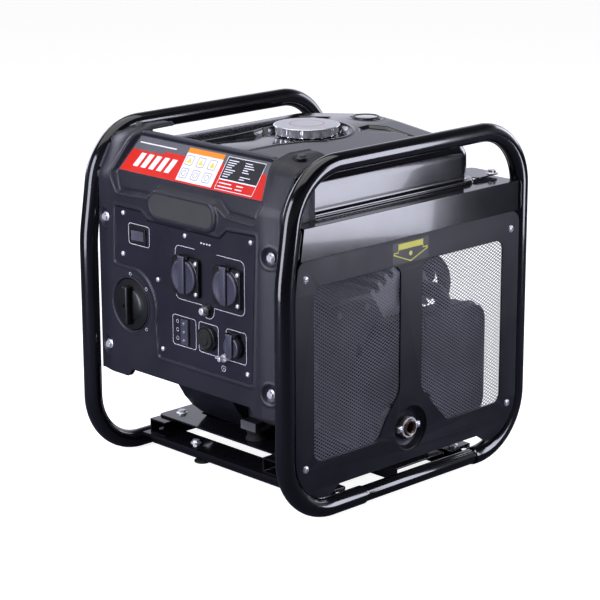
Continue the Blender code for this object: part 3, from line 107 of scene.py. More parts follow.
def mixed(tree, factor, first, last):
    inputs = {"Factor": factor, "A": first, "B": last}
    return add(tree, "Mix", inputs, data_type="RGBA").outputs["Result"]


def surface(name, slot, color, roughness, metallic=0.0, coat=0.0, shade=0.25, grain=60.0, grit=0.12,
            bump=0.02, edge_lightening=0.0, edge_color=(0.3, 0.3, 0.32), specular=0.5):
    """A procedural finish: uneven colour, uneven gloss, a fine relief and lighter sharp edges."""
    material = bpy.data.materials.new(name)
    material.use_nodes = True
    SLOT_OF[material.name] = slot
    tree = material.node_tree
    shader = tree.nodes["Principled BSDF"]
    shader.inputs["Metallic"].default_value = metallic
    shader.inputs["Coat Weight"].default_value = coat
    shader.inputs["Coat Roughness"].default_value = 0.04
    shader.inputs["Specular IOR Level"].default_value = specular
    spot = add(tree, "TexCoord").outputs["Object"]
    cloud, fine, smudge = (
        add(tree, "TexNoise", {"Vector": spot, "Scale": scale, "Detail": detail}).outputs["Fac"]
        for scale, detail in ((9.0, 3.0), (grain * 10.0, 4.0), (26.0, 5.0))
    )
    dark = (*(c * (1 - shade) for c in color), 1.0)
    light = (*(min(1.0, c * (1 + shade)) for c in color), 1.0)
    tone = mixed(tree, ranged(tree, cloud, 0.35, 0.65), dark, light)
    if edge_lightening:
        # Sharp convex edges, found by pointiness, are mixed towards a lighter colour.
        edge = add(tree, "NewGeometry").outputs["Pointiness"]
        tone = mixed(tree, ranged(tree, edge, 0.53, 0.62, 0.0, edge_lightening), tone, (*edge_color, 1.0))
    tree.links.new(tone, shader.inputs["Base Color"])
    gloss = ranged(tree, smudge, 0.3, 0.7, roughness * (1 - grit), min(1.0, roughness * (1 + grit)))
    tree.links.new(gloss, shader.inputs["Roughness"])
    if bump:
        relief = add(tree, "Bump", {"Strength": bump, "Distance": 0.001, "Height": fine})
        tree.links.new(relief.outputs["Normal"], shader.inputs["Normal"])
    return material


def printed(name, color, roughness=0.34, slot="panel_plastic", **more):
    """A flat, even print or film."""
    return surface(name, slot, color, roughness, **{"shade": 0.06, **more})


PAINT = surface("gloss_black_paint", "black_gloss", (0.005, 0.005, 0.007), 0.14, coat=0.35, bump=0.006,
                grain=22.0, edge_lightening=0.1, edge_color=(0.06, 0.06, 0.07))
SATIN = surface("satin_black_paint", "black_satin_metal", (0.0085, 0.0085, 0.014), 0.36, bump=0.012,
                specular=0.26, grain=90.0, grit=0.15, edge_lightening=0.25, edge_color=(0.05, 0.05, 0.06))
PLASTIC = surface("moulded_plastic", "panel_plastic", (0.015, 0.015, 0.0225), 0.42, bump=0.14,
                  specular=0.36, grain=160.0, shade=0.12, edge_lightening=0.4, edge_color=(0.075, 0.075, 0.095))
PLATE = surface("printed_plate", "panel_plastic", (0.0125, 0.0125, 0.0205), 0.33, bump=0.05,
                grain=160.0, shade=0.12)
LID = surface("socket_lid_plastic", "gloss_plastic", (0.042, 0.043, 0.064), 0.38, bump=0.12, grain=150.0,
              shade=0.1, edge_lightening=0.3, edge_color=(0.14, 0.145, 0.17))
BLACK = surface("black_plastic", "black_plastic", (0.0065, 0.0065, 0.0075), 0.33, bump=0.1, grain=150.0,
                edge_lightening=0.25, edge_color=(0.04, 0.04, 0.045))
RUBBER = surface("black_rubber", "rubber", (0.012, 0.012, 0.012), 0.78, bump=0.35, grain=120.0, edge_lightening=0.3,
                 edge_color=(0.05, 0.05, 0.05), specular=0.3)
ALUMINIUM = surface("cast_aluminium", "aluminium", (0.4, 0.4, 0.42), 0.46, 0.85, bump=0.5, grain=90.0,
                    shade=0.22, edge_lightening=0.5, edge_color=(0.75, 0.75, 0.77))
ZINC = surface("zinc_plate", "zinc_steel", (0.86, 0.86, 0.89), 0.34, 0.72, bump=0.05, grain=120.0,
               shade=0.12, edge_lightening=0.3, edge_color=(0.95, 0.95, 0.95))
CHROME = surface("chrome_plate", "chrome", (0.88, 0.88, 0.92), 0.13, 0.66, bump=0.01, grain=40.0,
                 shade=0.05, grit=0.5)
# The casting's own dark tone, darkened further as painted shade for the engine bay behind the screen.
CASTING_WITH_PAINTED_SHADE = surface("casting_with_painted_shade", "aluminium", (0.024, 0.024, 0.028), 0.55, 0.5, bump=0.5, grain=90.0,
                  edge_lightening=0.5, edge_color=(0.4, 0.4, 0.42))
STEEL = surface("dark_steel", "dark_steel", (0.017, 0.017, 0.02), 0.5, 0.45, bump=0.35, grain=80.0,
                shade=0.45, grit=0.25, edge_lightening=0.5, edge_color=(0.16, 0.155, 0.15))
COPPER = surface("enamelled_copper", "copper", (0.45, 0.17, 0.06), 0.34, 0.8, bump=0.9, grain=120.0,
                 shade=0.3)
SCREEN = surface("screen_paint", "black_satin_metal", (0.19, 0.19, 0.23), 0.34, bump=0.04, grain=90.0,
                 grit=0.2, shade=0.3)
TIP = surface("heated_pipe", "zinc_steel", (0.34, 0.26, 0.2), 0.34, 1.0, bump=0.12, shade=0.45, grit=0.3)
SILVER = surface("frosted_cap_top", "chrome", (0.66, 0.66, 0.71), 0.44, 0.55, bump=0.1, grain=200.0,
                 shade=0.05)
PINK = surface("cap_ring_print", "chrome", (0.58, 0.3, 0.36), 0.45, 0.3, shade=0.05)
PRINT = printed("white_print", (0.62, 0.62, 0.66), 0.5, bump=0.03, shade=0.08)
LABEL_GREY = printed("label_grey", (0.115, 0.115, 0.125), 0.32)
LABEL_RED = printed("label_red", (0.62, 0.02, 0.012), 0.32)
LABEL_WHITE = printed("label_white", (0.8, 0.8, 0.84), shade=0.04)
LABEL_ORANGE = printed("label_orange", (0.86, 0.25, 0.02))
LABEL_BLACK = printed("label_black", (0.022, 0.022, 0.024))
LABEL_INK = printed("label_ink", (0.22, 0.21, 0.26), 0.4)
LABEL_YELLOW = printed("label_yellow", (0.75, 0.62, 0.05), 0.4)
BADGE_FACE = printed("badge_face", (0.04, 0.041, 0.038), 0.42, bump=0.1, grain=220.0, shade=0.1)
STICKER = printed("sticker_film", (0.012, 0.012, 0.012), 0.38, shade=0.08)
YELLOW = printed("sticker_yellow", (0.78, 0.74, 0.06), 0.4, shade=0.05)
LENS = printed("lamp_lens", (0.16, 0.17, 0.2), 0.12, "gloss_plastic", coat=0.5, bump=0.01, shade=0.05)
WHITE_LENS = printed("gauge_lens", (0.56, 0.56, 0.62), 0.1, "gloss_plastic", coat=0.6, bump=0.01, shade=0.08)


def shade(obj, material, slot):
    """Gives the object one finish. Its slot argument is not used."""
    obj.data.materials.clear()
    obj.data.materials.append(material)


# ---------------------------------------------------------------- studio
def place(name, data, matrix=None):
    """Puts a mesh, a curve, a lamp or a camera in the scene."""
    obj = bpy.data.objects.new(name, data)
    bpy.context.scene.collection.objects.link(obj)
    if matrix is not None:
        obj.matrix_world = matrix
    return obj


def look(start, direction):
    """A place at start that looks along direction, as cameras and lamps do."""
    return Matrix.Translation(start) @ Vector(direction).to_track_quat("-Z", "Y").to_matrix().to_4x4()


def camera():
    """A long lens at the front right corner, a little above the object."""
    spot = Vector((1.9633, -1.9117, 0.9669))
    azimuth, elevation, roll = (math.radians(a) for a in (45.89, 15.34, -0.17))
    data = bpy.data.cameras.new("camera")
    data.lens = 129.07
    data.sensor_width = 36.0
    level = math.cos(elevation)
    forward = (-math.sin(azimuth) * level, math.cos(azimuth) * level, -math.sin(elevation))
    bpy.context.scene.camera = place("camera", data, look(spot, forward) @ Matrix.Rotation(roll, 4, "Z"))


def softbox(name, spot, target, width, height, radiance, color=(0.84, 0.85, 1.0)):
    """A lamp panel that lights the object but isn't in the picture."""
    data = bpy.data.lights.new(name, "AREA")
    data.shape = "RECTANGLE"
    data.size = width
    data.size_y = height
    data.energy = radiance * width * height * math.pi
    data.color = color
    place(name, data, look(spot, Vector(target) - Vector(spot))).visible_camera = False


def pale_floor():
    """A pale floor that is nearly white in the picture and greyer in the object's reflections."""
    material = surface("pale_floor", None, (0.5, 0.5, 0.51), 0.9, shade=0.01, bump=0.0, specular=0.1)
    tree = material.node_tree
    lit = tree.nodes["Principled BSDF"]
    lit.inputs["Emission Color"].default_value = (1.0, 1.0, 1.0, 1.0)
    lit.inputs["Emission Strength"].default_value = 0.9
    dim = add(tree, "BsdfDiffuse", {"Color": (0.085, 0.085, 0.115, 1.0)})
    by_ray(tree, dim.outputs["BSDF"], lit.outputs["BSDF"], tree.nodes["Material Output"])
    return material


def by_ray(tree, reflected, seen, out):
    """Shows one shader to the camera, and the other to everything else."""
    seen_by = add(tree, "LightPath").outputs["Is Camera Ray"]
    mix = add(tree, "MixShader", {"Fac": seen_by, 1: reflected, 2: seen})
    tree.links.new(mix.outputs["Shader"], out.inputs["Surface"])


def studio():
    """White surroundings that dim in reflections with height and from behind, a floor and soft lamps."""
    scene = bpy.context.scene
    scene.world = bpy.data.worlds.new("studio")
    scene.world.use_nodes = True
    tree = scene.world.node_tree
    tree.nodes.clear()
    spot = add(tree, "TexCoord").outputs["Generated"]
    height = add(tree, "SeparateXYZ", {"Vector": spot}).outputs["Z"]
    behind = add(tree, "VectorMath", {0: spot, 1: (-0.7, 0.7, 0.0)}, operation="DOT_PRODUCT").outputs["Value"]
    strength = add(tree, "Math", {
        0: ranged(tree, height, 0.22, 0.62, 1.0, 0.08, "SMOOTHSTEP"),
        1: ranged(tree, behind, -0.1, 0.8, 0.12, 0.95, "SMOOTHSTEP"),
    }, operation="MULTIPLY").outputs["Value"]
    around = add(tree, "Background", {"Color": (0.85, 0.86, 1.0, 1.0), "Strength": strength})
    white = add(tree, "Background", {"Color": (1.0, 1.0, 1.0, 1.0)})
    by_ray(tree, around.outputs["Background"], white.outputs["Background"], add(tree, "OutputWorld"))
    softbox("side_softbox", (1.13, 0.74, 0.46), (0.05, 0.0, 0.4), 0.46, 0.86, 10.0)
    softbox("front_softbox", (-0.1, -1.25, 0.56), (0.0, -0.2, 0.3), 0.62, 1.12, 9.0)
    softbox("top_softbox", (-0.3, -0.1, 2.3), (0.0, 0.0, 0.2), 2.6, 2.6, 1.6, (1.0, 1.0, 1.0))
    softbox("left_softbox", (-1.6, -0.1, 0.75), (0.0, 0.0, 0.25), 0.8, 0.8, 4.0)
    softbox("rear_softbox", (0.1, 1.9, 0.85), (0.0, 0.0, 0.25), 0.8, 0.8, 4.0)
    bm = bmesh.new()
    bmesh.ops.create_grid(bm, x_segments=8, y_segments=8, size=12.0)
    floor = from_bmesh("floor", bm)
    floor.location.z = -0.0006
    floor.data.materials.append(pale_floor())
    scene.view_settings.view_transform = "Standard"
    scene.view_settings.look = "None"


# ---------------------------------------------------------------- shapes
def from_bmesh(name, bm, matrix=None):
    mesh = bpy.data.meshes.new(name)
    bm.to_mesh(mesh)
    bm.free()
    return place(name, mesh, matrix)


def evaluated(obj):
    """A mesh of the object with its modifiers applied and its place in its vertices."""
    bpy.context.view_layer.update()
    mesh = bpy.data.meshes.new_from_object(obj.evaluated_get(bpy.context.evaluated_depsgraph_get()))
    mesh.transform(obj.matrix_world)
    return mesh


def baked(obj, *helpers):
    """The object with its modifiers applied. Its helpers are removed."""
    mesh = evaluated(obj)
    name = obj.name
    for old in (obj, *helpers):
        bpy.data.objects.remove(old, do_unlink=True)
    return place(name, mesh)


def combined(obj, *others, operation="DIFFERENCE"):
    """The object with the others cut from it, or with what it shares with them."""
    for other in others:
        change = obj.modifiers.new("boolean", "BOOLEAN")
        change.operation = operation
        change.object = other
    return baked(obj, *others)


def merged(name, objects):
    """Several objects as one, each keeping its own closed surface."""
    bm = bmesh.new()
    for obj in objects:
        mesh = evaluated(obj)
        bm.from_mesh(mesh)
        bpy.data.meshes.remove(mesh)
        bpy.data.objects.remove(obj, do_unlink=True)
    return from_bmesh(name, bm)


def softened(obj, width, segments=3, angle=30.0, weld=0.000005, flat=0.3):
    """Rounded edges, and normals that leave the flat faces flat. A CAD node's own mesh isn't touched."""
    if obj.name not in NODES:
        obj.data.shade_smooth()
    modifiers = (
        ("weld", "WELD", {"merge_threshold": weld}),
        ("flat", "DECIMATE", {"decimate_type": "DISSOLVE", "angle_limit": math.radians(flat)}),
        ("bevel", "BEVEL", {"width": width, "segments": segments, "limit_method": "ANGLE",
                            "angle_limit": math.radians(angle)}),
        ("normals", "WEIGHTED_NORMAL", {"keep_sharp": False, "weight": 50}),
    )
    for name, kind, settings in modifiers:
        change = obj.modifiers.new(name, kind)
        for key, value in settings.items():
            setattr(change, key, value)


def crisp(obj, angle):
    """Smooth shading with sharp edges above an angle."""
    obj.data.shade_smooth()
    obj.data.set_sharp_from_angle(angle=math.radians(angle))


def block(name, low, high, bevel=0.0, segments=3):
    """A box between two corners, with rounded edges."""
    low = Vector(low)
    high = Vector(high)
    bm = bmesh.new()
    bmesh.ops.create_cube(bm, size=1.0)
    bmesh.ops.scale(bm, vec=high - low, verts=bm.verts)
    if bevel:
        bmesh.ops.bevel(bm, geom=bm.edges[:], offset=bevel, segments=segments, profile=0.5, affect="EDGES")
    return from_bmesh(name, bm, Matrix.Translation((low + high) / 2))


def aim(start, direction):
    """A place at start whose local Z points along direction."""
    return Matrix.Translation(start) @ Vector(direction).to_track_quat("Z", "Y").to_matrix().to_4x4()


def rod(name, start, end, radius, sides):
    start = Vector(start)
    end = Vector(end)
    bm = bmesh.new()
    bmesh.ops.create_cone(bm, cap_ends=True, segments=sides, radius1=radius, radius2=radius,
                          depth=(end - start).length)
    return from_bmesh(name, bm, aim((start + end) / 2, end - start))


def turned(name, profile, start=(0, 0, 0), direction=UP, sides=48):
    """A turned solid. The profile is (radius, height) along direction, and closes on itself."""
    bm = bmesh.new()
    turns = [2 * math.pi * i / sides for i in range(sides)]
    rings = []
    for radius, height in profile:
        if radius == 0:
            rings.append([bm.verts.new((0.0, 0.0, height))] * sides)
        else:
            rings.append([bm.verts.new((radius * math.cos(t), radius * math.sin(t), height)) for t in turns])
    for lower, upper in zip(rings, rings[1:] + rings[:1]):
        for i in range(sides):
            j = (i + 1) % sides
            corners = list(dict.fromkeys((lower[i], lower[j], upper[j], upper[i])))
            if len(corners) > 2:
                bm.faces.new(corners)
    bmesh.ops.recalc_face_normals(bm, faces=bm.faces)
    return from_bmesh(name, bm, aim(start, direction))


def rounded(corners, step=6.0):
    """A closed outline through corners (u, v, radius), with each corner as an arc."""
    points = []
    for index, (u, v, radius) in enumerate(corners):
        corner = Vector((u, v))
        if radius == 0:
            points.append(corner)
            continue
        before = (Vector(corners[index - 1][:2]) - corner).normalized()
        after = (Vector(corners[(index + 1) % len(corners)][:2]) - corner).normalized()
        half = before.angle(after) / 2
        centre = corner + (before + after).normalized() * (radius / math.sin(half))
        reach = radius / math.tan(half)
        first = corner + before * reach - centre
        last = corner + after * reach - centre
        begin = math.atan2(first.y, first.x)
        sweep = math.atan2(last.y, last.x) - begin
        sweep = (sweep + math.pi) % (2 * math.pi) - math.pi
        steps = max(2, round(abs(math.degrees(sweep)) / step))
        for i in range(steps + 1):
            angle = begin + sweep * i / steps
            points.append(centre + Vector((math.cos(angle), math.sin(angle))) * radius)
    return points


def circle(u, v, radius, sides=48):
    turns = [2 * math.pi * i / sides for i in range(sides)]
    return [Vector((u + radius * math.cos(t), v + radius * math.sin(t))) for t in turns]


def rectangle(u1, u2, v1, v2, radius=0.0, step=6.0):
    return rounded([(u1, v1, radius), (u2, v1, radius), (u2, v2, radius), (u1, v2, radius)], step)


def from_curve(name, curve, matrix=None):
    """A curve as a closed mesh, with its caps joined to it."""
    obj = baked(place(name, curve, matrix))
    bm = bmesh.new()
    bm.from_mesh(obj.data)
    bmesh.ops.remove_doubles(bm, verts=bm.verts, dist=0.00001)
    bmesh.ops.recalc_face_normals(bm, faces=bm.faces)
    bm.to_mesh(obj.data)
    bm.free()
    return obj


def along(plane, distance):
    """A step along the world axis that a plane faces."""
    return Vector([abs(value) for value in plane.to_3x3() @ Vector(UP)]) * distance


def prism(name, outline, low, high, plane, holes=()):
    """A flat outline with thickness, from low to high along the world axis of the plane."""
    curve = bpy.data.curves.new(name, "CURVE")
    curve.dimensions = "2D"
    curve.fill_mode = "BOTH"
    curve.extrude = (high - low) / 2
    for loop in (outline, *holes):
        spline = curve.splines.new("POLY")
        spline.points.add(len(loop) - 1)
        for point, spot in zip(spline.points, loop):
            point.co = (spot[0], spot[1], 0.0, 1.0)
        spline.use_cyclic_u = True
    return from_curve(name, curve, Matrix.Translation(along(plane, (low + high) / 2)) @ plane)


def tube(name, points, radius, sides, loop, radii=None):
    """A round tube or wire through points."""
    curve = bpy.data.curves.new(name, "CURVE")
    curve.dimensions = "3D"
    curve.bevel_depth = radius
    curve.bevel_resolution = (sides - 4) // 2
    curve.use_fill_caps = True
    spline = curve.splines.new("POLY")
    spline.points.add(len(points) - 1)
    for index, spot in enumerate(points):
        spline.points[index].co = (*spot, 1.0)
        spline.points[index].radius = radii[index] if radii else 1.0
    spline.use_cyclic_u = loop
    obj = from_curve(name, curve)
    crisp(obj, 40)
    return obj


def ribbon(name, line, width, back, plane, loop=True, thick=0.00012):
    """A printed line: a thin strip along a path in a plane, from back outwards."""
    line = [Vector(spot) for spot in line]
    count = len(line)
    bm = bmesh.new()
    base = along(plane, back)
    rings = []
    for i, spot in enumerate(line):
        before = line[i - 1] if (i or loop) else spot
        after = line[(i + 1) % count] if (i < count - 1 or loop) else spot
        way = (after - before).normalized()
        side = Vector((-way.y, way.x)) * width / 2
        left, right = spot + side, spot - side
        rings.append([
            bm.verts.new(base + plane.to_3x3() @ Vector((point.x, point.y, lift)))
            for point, lift in ((left, 0.0), (left, thick), (right, thick), (right, 0.0))
        ])
    for near, far in zip(rings, rings[1:] + rings[:1] if loop else rings[1:]):
        for k in range(4):
            bm.faces.new((near[k], near[(k + 1) % 4], far[(k + 1) % 4], far[k]))
    if not loop:
        bm.faces.new(rings[0])
        bm.faces.new(rings[-1])
    bmesh.ops.recalc_face_normals(bm, faces=bm.faces)
    return from_bmesh(name, bm)


def settle(obj, material, *nodes, body="frame", slot=None, sharp=None):
    """Finishes a piece: its sharp edges, its material, its body and the CAD nodes it stands for."""
    if sharp:
        crisp(obj, sharp)
    shade(obj, material, slot or SLOT_OF[material.name])
    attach(obj, body)
    if nodes:
        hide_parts(*nodes)


# ---------------------------------------------------------------- fields for moulded and pressed skins
def ease(low, high, value):
    """0 below low, 1 above high, and a smooth step between."""
    share = np.clip((value - low) / (high - low), 0.0, 1.0)
    return share * share * (3 - 2 * share)


def hump(value, centre, half):
    """A rounded ridge of height 1."""
    return np.where(np.abs(value - centre) < half, 0.5 + 0.5 * np.cos(math.pi * (value - centre) / half), 0.0)


def gap_to(u, v, outline):
    """The signed distance to a closed outline, negative inside."""
    points = np.array([(p[0], p[1]) for p in outline])
    nearest = np.full(u.shape, 1e9)
    inside = np.zeros(u.shape, bool)
    for (au, av), (bu, bv) in zip(points, np.roll(points, -1, axis=0)):
        du, dv = bu - au, bv - av
        share = np.clip(((u - au) * du + (v - av) * dv) / max(du * du + dv * dv, 1e-12), 0, 1)
        nearest = np.minimum(nearest, np.hypot(u - au - share * du, v - av - share * dv))
        if abs(dv) > 1e-12:
            inside ^= ((av > v) != (bv > v)) & (u < au + (v - av) * du / dv)
    return np.where(inside, -nearest, nearest)


def skin(name, points, wrap, rank, way, gone=lambda spot: False):
    """A grid of points (rows, columns, 3) as a mesh, whose columns can join into rings. Some faces are
    dropped, and the rest turn outwards: the highest ranked face looks along way."""
    rows, columns = points.shape[:2]
    mesh = bpy.data.meshes.new(name)
    index = np.arange(rows * columns).reshape(rows, columns)
    right = np.roll(index, -1, axis=1) if wrap else index[:, 1:]
    left = index if wrap else index[:, :-1]
    quads = np.stack([left[:-1], right[:-1], right[1:], left[1:]], axis=-1).reshape(-1, 4)
    mesh.from_pydata(points.reshape(-1, 3).tolist(), [], quads.tolist())
    bm = bmesh.new()
    bm.from_mesh(mesh)
    lost = [face for face in bm.faces if gone(face.calc_center_median())]
    bmesh.ops.delete(bm, geom=lost, context="FACES")
    bmesh.ops.recalc_face_normals(bm, faces=bm.faces)
    if max(bm.faces, key=lambda face: rank(face.calc_center_median())).normal.dot(Vector(way)) < 0:
        bmesh.ops.reverse_faces(bm, faces=bm.faces)
    bm.to_mesh(mesh)
    bm.free()
    mesh.shade_smooth()
    return place(name, mesh)


# ---------------------------------------------------------------- control panel shell
PANEL_STEP = 0.0018
RECESS = [
    (-0.1245, 0.3775), (-0.067, 0.3795), (-0.051, 0.3915), (0.06, 0.392), (0.081, 0.3795), (0.1285, 0.3775),
    (0.1385, 0.3995), (0.125, 0.446), (0.124, 0.6), (-0.124, 0.6), (-0.125, 0.446), (-0.1385, 0.3995),
]
FLOOR_LOW, FLOOR_TOP = 0.3765, 0.4462
FLOOR_SHARES = [0, 0.33, 0.93, 0.985, 1]
FLOOR_Y = [-0.2085, -0.201, -0.1705, -0.166, -0.16]
FLOOR_Z = [FLOOR_LOW, 0.3995, 0.443, FLOOR_TOP, FLOOR_TOP]
FRAME_BOLTS = ((0.155, 0.337), (0.154, 0.166))
BADGE = (0.065, 0.3495, 0.3925, 0.02)


def plate_outline(grow):
    """The outline of the control plate, which passes round the dial and under the badge."""
    radius = 0.0525 - grow
    arc = [
        (DIAL_AT[0] + radius * math.cos(turn), DIAL_AT[1] + radius * math.sin(turn))
        for turn in (math.radians(degrees) for degrees in range(75, -16, -5))
    ]
    corners = (
        (0.124, 0.173, 1, -1), (0.131, 0.359, 1, 1), (0.082, 0.357, 0, 1), (0.068, 0.3455, 0, 1),
        (-0.068, 0.3455, 0, 1), (-0.08, 0.355, 0, 1), (-0.129, 0.355, -1, 1), (-0.1316, 0.2828, -1, -1),
    )
    return [*arc, (-0.047 - grow, 0.173 - grow), *((u + a * grow, v + b * grow) for u, v, a, b in corners)]


def panel_shell():
    """The moulded shell: a face that leans back at the top, with a label recess, a seat for the plate,
    a pad for the badge, cups for the frame bolts and sides that turn back to the frame."""
    face = PANEL_Y
    top = PANEL_HIGH.z
    foot_z = PANEL_LOW.z
    profile = np.array(rounded([
        (face, foot_z, 0.0), (face, TOP_Z - 0.052, 0.03), (face + 0.03, top - 0.008, 0.03),
        (face + 0.062, top, 0.02), (face + 0.096, top, 0.0),
    ], 3.0))
    reach = np.concatenate([[0], np.cumsum(np.hypot(*np.diff(profile, axis=0).T))])
    spots = np.linspace(0, reach[-1], max(2, round(reach[-1] / PANEL_STEP)) + 1)
    line = np.stack([np.interp(spots, reach, profile[:, axis]) for axis in (0, 1)], axis=1)
    run = np.gradient(line, axis=0)
    run /= np.linalg.norm(run, axis=1)[:, None]
    out = np.stack([-run[:, 1], run[:, 0]], axis=1)
    flat = np.linspace(-PANEL_X, PANEL_X, round(2 * PANEL_X / PANEL_STEP) + 1)
    x, row = np.meshgrid(flat, np.arange(len(line)))
    y, z = line[row, 0], line[row, 1]
    v = z + np.maximum(0.0, y - (face + 0.045))
    on_face = z < 0.392

    # What stands off the shell or is sunk in it.
    seat = gap_to(x, z, plate_outline(0.0004))
    rise = 0.001 * hump(seat, 0.0032, 0.0028) - 0.0035 * (1 - ease(-0.0004, 0.0012, seat))
    rise = np.where(on_face, rise, 0)
    recess = gap_to(x, v, RECESS)
    rise += 0.0012 * hump(recess, 0.0035, 0.0035)
    width, low, high, radius = BADGE
    pad = gap_to(x, z, rectangle(-width, width, low, high, radius))
    rise += np.where(on_face | (z < high + 0.004), 0.0034 * (1 - ease(-0.0028, 0.0008, pad)), 0)
    rise -= 0.0016 * (1 - ease(-0.0085, -0.0062, pad))
    rise -= 0.006 * ease(0.1385, 0.174, np.abs(x))
    for bolt_x, bolt_z in FRAME_BOLTS:
        away = np.hypot(np.abs(x) - bolt_x, z - bolt_z)
        rise -= 0.004 * (1 - ease(0.0078, 0.0125, away)) - 0.0008 * hump(away, 0.014, 0.0022)
    pads = np.hypot(np.abs(x) - 0.15, y + 0.15)
    rise -= np.where(z > top - 0.004, 0.0024 * (1 - ease(0.0085, 0.0115, pads)), 0)
    dial_gap = np.hypot(x - DIAL_AT[0], z - DIAL_AT[1])
    rise -= 0.008 * (1 - ease(0.0346, 0.0362, dial_gap)) - 0.0006 * hump(dial_gap, 0.0385, 0.0022)
    y = y + out[row, 0] * rise
    z = z + out[row, 1] * rise

    # The recess's flat floor and the groove along its lower edge.
    share = np.clip((v - FLOOR_LOW) / (FLOOR_TOP - FLOOR_LOW), 0, 1)
    floor_y = np.where(v > FLOOR_TOP, line[row, 0], np.interp(share, FLOOR_SHARES, FLOOR_Y))
    sunk = 1 - ease(-0.003, 0.0004, recess)
    y = y + (floor_y - y) * sunk
    z = z + (np.interp(share, FLOOR_SHARES, FLOOR_Z) - z) * sunk
    y = y + 0.0062 * hump(recess, 0.0006, 0.0044) * (1 - ease(0.396, 0.406, v))
    foot = foot_z + 0.0107 * ease(-0.1125, -0.1015, x) * (1 - ease(0.1185, 0.1295, x))
    z = np.where(z < foot_z + 0.03, foot + (z - foot_z) * (foot_z + 0.03 - foot) / 0.03, z)

    # The lip under the face, and the cheeks.
    grid = np.stack([x, y, z], axis=-1)
    turns = (80, 55, 30, 10)
    lips = np.stack([grid[0]] * len(turns))
    lips[..., 1] += 0.003 * np.sin(np.radians(turns))[:, None]
    lips[0, :, 1] += 0.004
    grid = np.concatenate([lips, grid])
    parts = np.array([0.012, 0.03, 0.06, 0.12, 0.25, 0.5, 0.75, 1.0])
    ends = []
    for side in (0, -1):
        edge = grid[:, side]
        back = edge.copy()
        back[:, 1] = np.maximum(edge[:, 1] + 0.004, -0.1495)
        back[:, 2] = np.minimum(edge[:, 2], 0.432)
        ends.append(edge[:, None] + (back - edge)[:, None] * parts[:, None])
    grid = np.concatenate([ends[0][:, ::-1], grid, ends[1]], axis=1)
    curl = 0.0035
    inset = np.abs(np.abs(grid[..., 0]) - PANEL_X)
    fall = curl - np.sqrt(np.maximum(curl ** 2 - np.clip(curl - inset, 0, curl) ** 2, 0))
    fall[:, :len(parts)] = 0
    fall[:, -len(parts):] = 0
    rows = np.clip(np.arange(len(grid)) - len(turns), 0, len(line) - 1)
    grid[..., 1:] -= out[rows][:, None] * fall[..., None]
    middle = Vector((-0.15, face, 0.25))
    shell = skin("panel_shell", grid, False, lambda spot: -(spot - middle).length, OUT,
                 lambda spot: abs(spot.x) < 0.123 and spot.y > -0.162)
    wall = shell.modifiers.new("wall", "SOLIDIFY")
    wall.thickness = 0.0022
    wall.offset = -1
    settle(shell, PLASTIC, "control_panel_housing")


# ---------------------------------------------------------------- screws and bolts
def pan_screw(name, spot, direction, radius, material=ZINC):
    """A round-headed screw with a cross recess."""
    high = radius * 0.62
    profile = [(0.0, 0.0), (radius, 0.0), (radius, high * 0.12), (radius * 0.93, high * 0.48),
               (radius * 0.7, high * 0.82), (radius * 0.35, high * 0.98), (0.0, high)]
    head = turned(name, profile, sides=28)
    long, thin = radius * 0.62, radius * 0.17
    head = combined(head, *(block("bar", (-u, -v, high * 0.45), (u, v, high * 1.3))
                            for u, v in ((long, thin), (thin, long))))
    crisp(head, 40)
    head.data.transform(aim(spot, direction) @ Matrix.Rotation(spot[0] * 900.0, 4, "Z"))
    settle(head, material)


def hex_bolt(name, spot, direction, radius, material=ZINC, flange=1.45):
    """A hexagon bolt head on a flange, with a chamfered top."""
    high = radius * 0.85
    under = radius * 0.34
    washer = turned(name, [(0.0, 0.0), (radius * flange, 0.0), (radius * flange, radius * 0.12),
                           (radius * 1.02, under), (0.0, under)], sides=36)
    base = radius * 0.2
    hexagon = turned("hexagon", [(0.0, base), (radius, base), (radius, high), (0.0, high)], sides=6)
    cone = turned("chamfer", [(0.0, -radius), (radius * 2.4, -radius), (radius * 2.4, radius * 0.05),
                              (radius * 0.86, high * 1.04), (0.0, high * 1.04)], sides=36)
    head = merged(name, [washer, combined(hexagon, cone, operation="INTERSECT")])
    crisp(head, 25)
    head.data.transform(aim(spot, direction) @ Matrix.Rotation(spot[1] * 700.0, 4, "Z"))
    settle(head, material)


def fasten(make, name, spots, direction, radius, **more):
    """Screws or bolts at several spots, numbered from 1."""
    for number, spot in enumerate(spots, 1):
        make("%s_%d" % (name, number), spot, direction, radius, **more)


def panel_screws():
    spots = ((-0.115, 0.349), (-0.117, 0.295), (0.004, 0.339), (0.124, 0.351), (-0.049, 0.273),
             (-0.042, 0.1835), (0.1165, 0.184))
    fasten(pan_screw, "plate_screw", [(x, PLATE_Y + 0.0001, z) for x, z in spots], OUT, 0.0033)
    for number, (x, z) in enumerate(FRAME_BOLTS, 1):
        for name, side in SIDES:
            spot = (side * x, PANEL_Y + 0.0056, z)
            hex_bolt("panel_bolt_%d_%s" % (number, name), spot, OUT, 0.0048, flange=1.3)
    for name, side in SIDES:
        hex_bolt("panel_top_bolt_" + name, (side * 0.15, -0.15, PANEL_HIGH.z - 0.0026), UP, 0.005,
                 material=STEEL, flange=1.3)


# ---------------------------------------------------------------- label, badge and printed lines
LABEL_LOW = Vector((0.0, PANEL_Y + 0.0105, TOP_Z - 0.0465))
LABEL_HIGH = Vector((0.0, PANEL_Y + 0.0415, TOP_Z - 0.0025))
LABEL_TALL = (LABEL_HIGH - LABEL_LOW).length
FILM = 0.00012
LINE = 0.00016


def label_plane(lift):
    """A place on the label face, lifted off it by a layer's height."""
    up = (LABEL_HIGH - LABEL_LOW).normalized()
    out = Vector(RIGHT).cross(up)
    turn = Matrix((Vector(RIGHT), up, out)).transposed().to_4x4()
    return Matrix.Translation(LABEL_LOW + out * lift) @ turn


def sticker(name, pieces, lift, material):
    """A thin printed layer on the label face, of one or several pieces."""
    layer = merged(name, pieces)
    layer.data.transform(label_plane(lift))
    settle(layer, material)


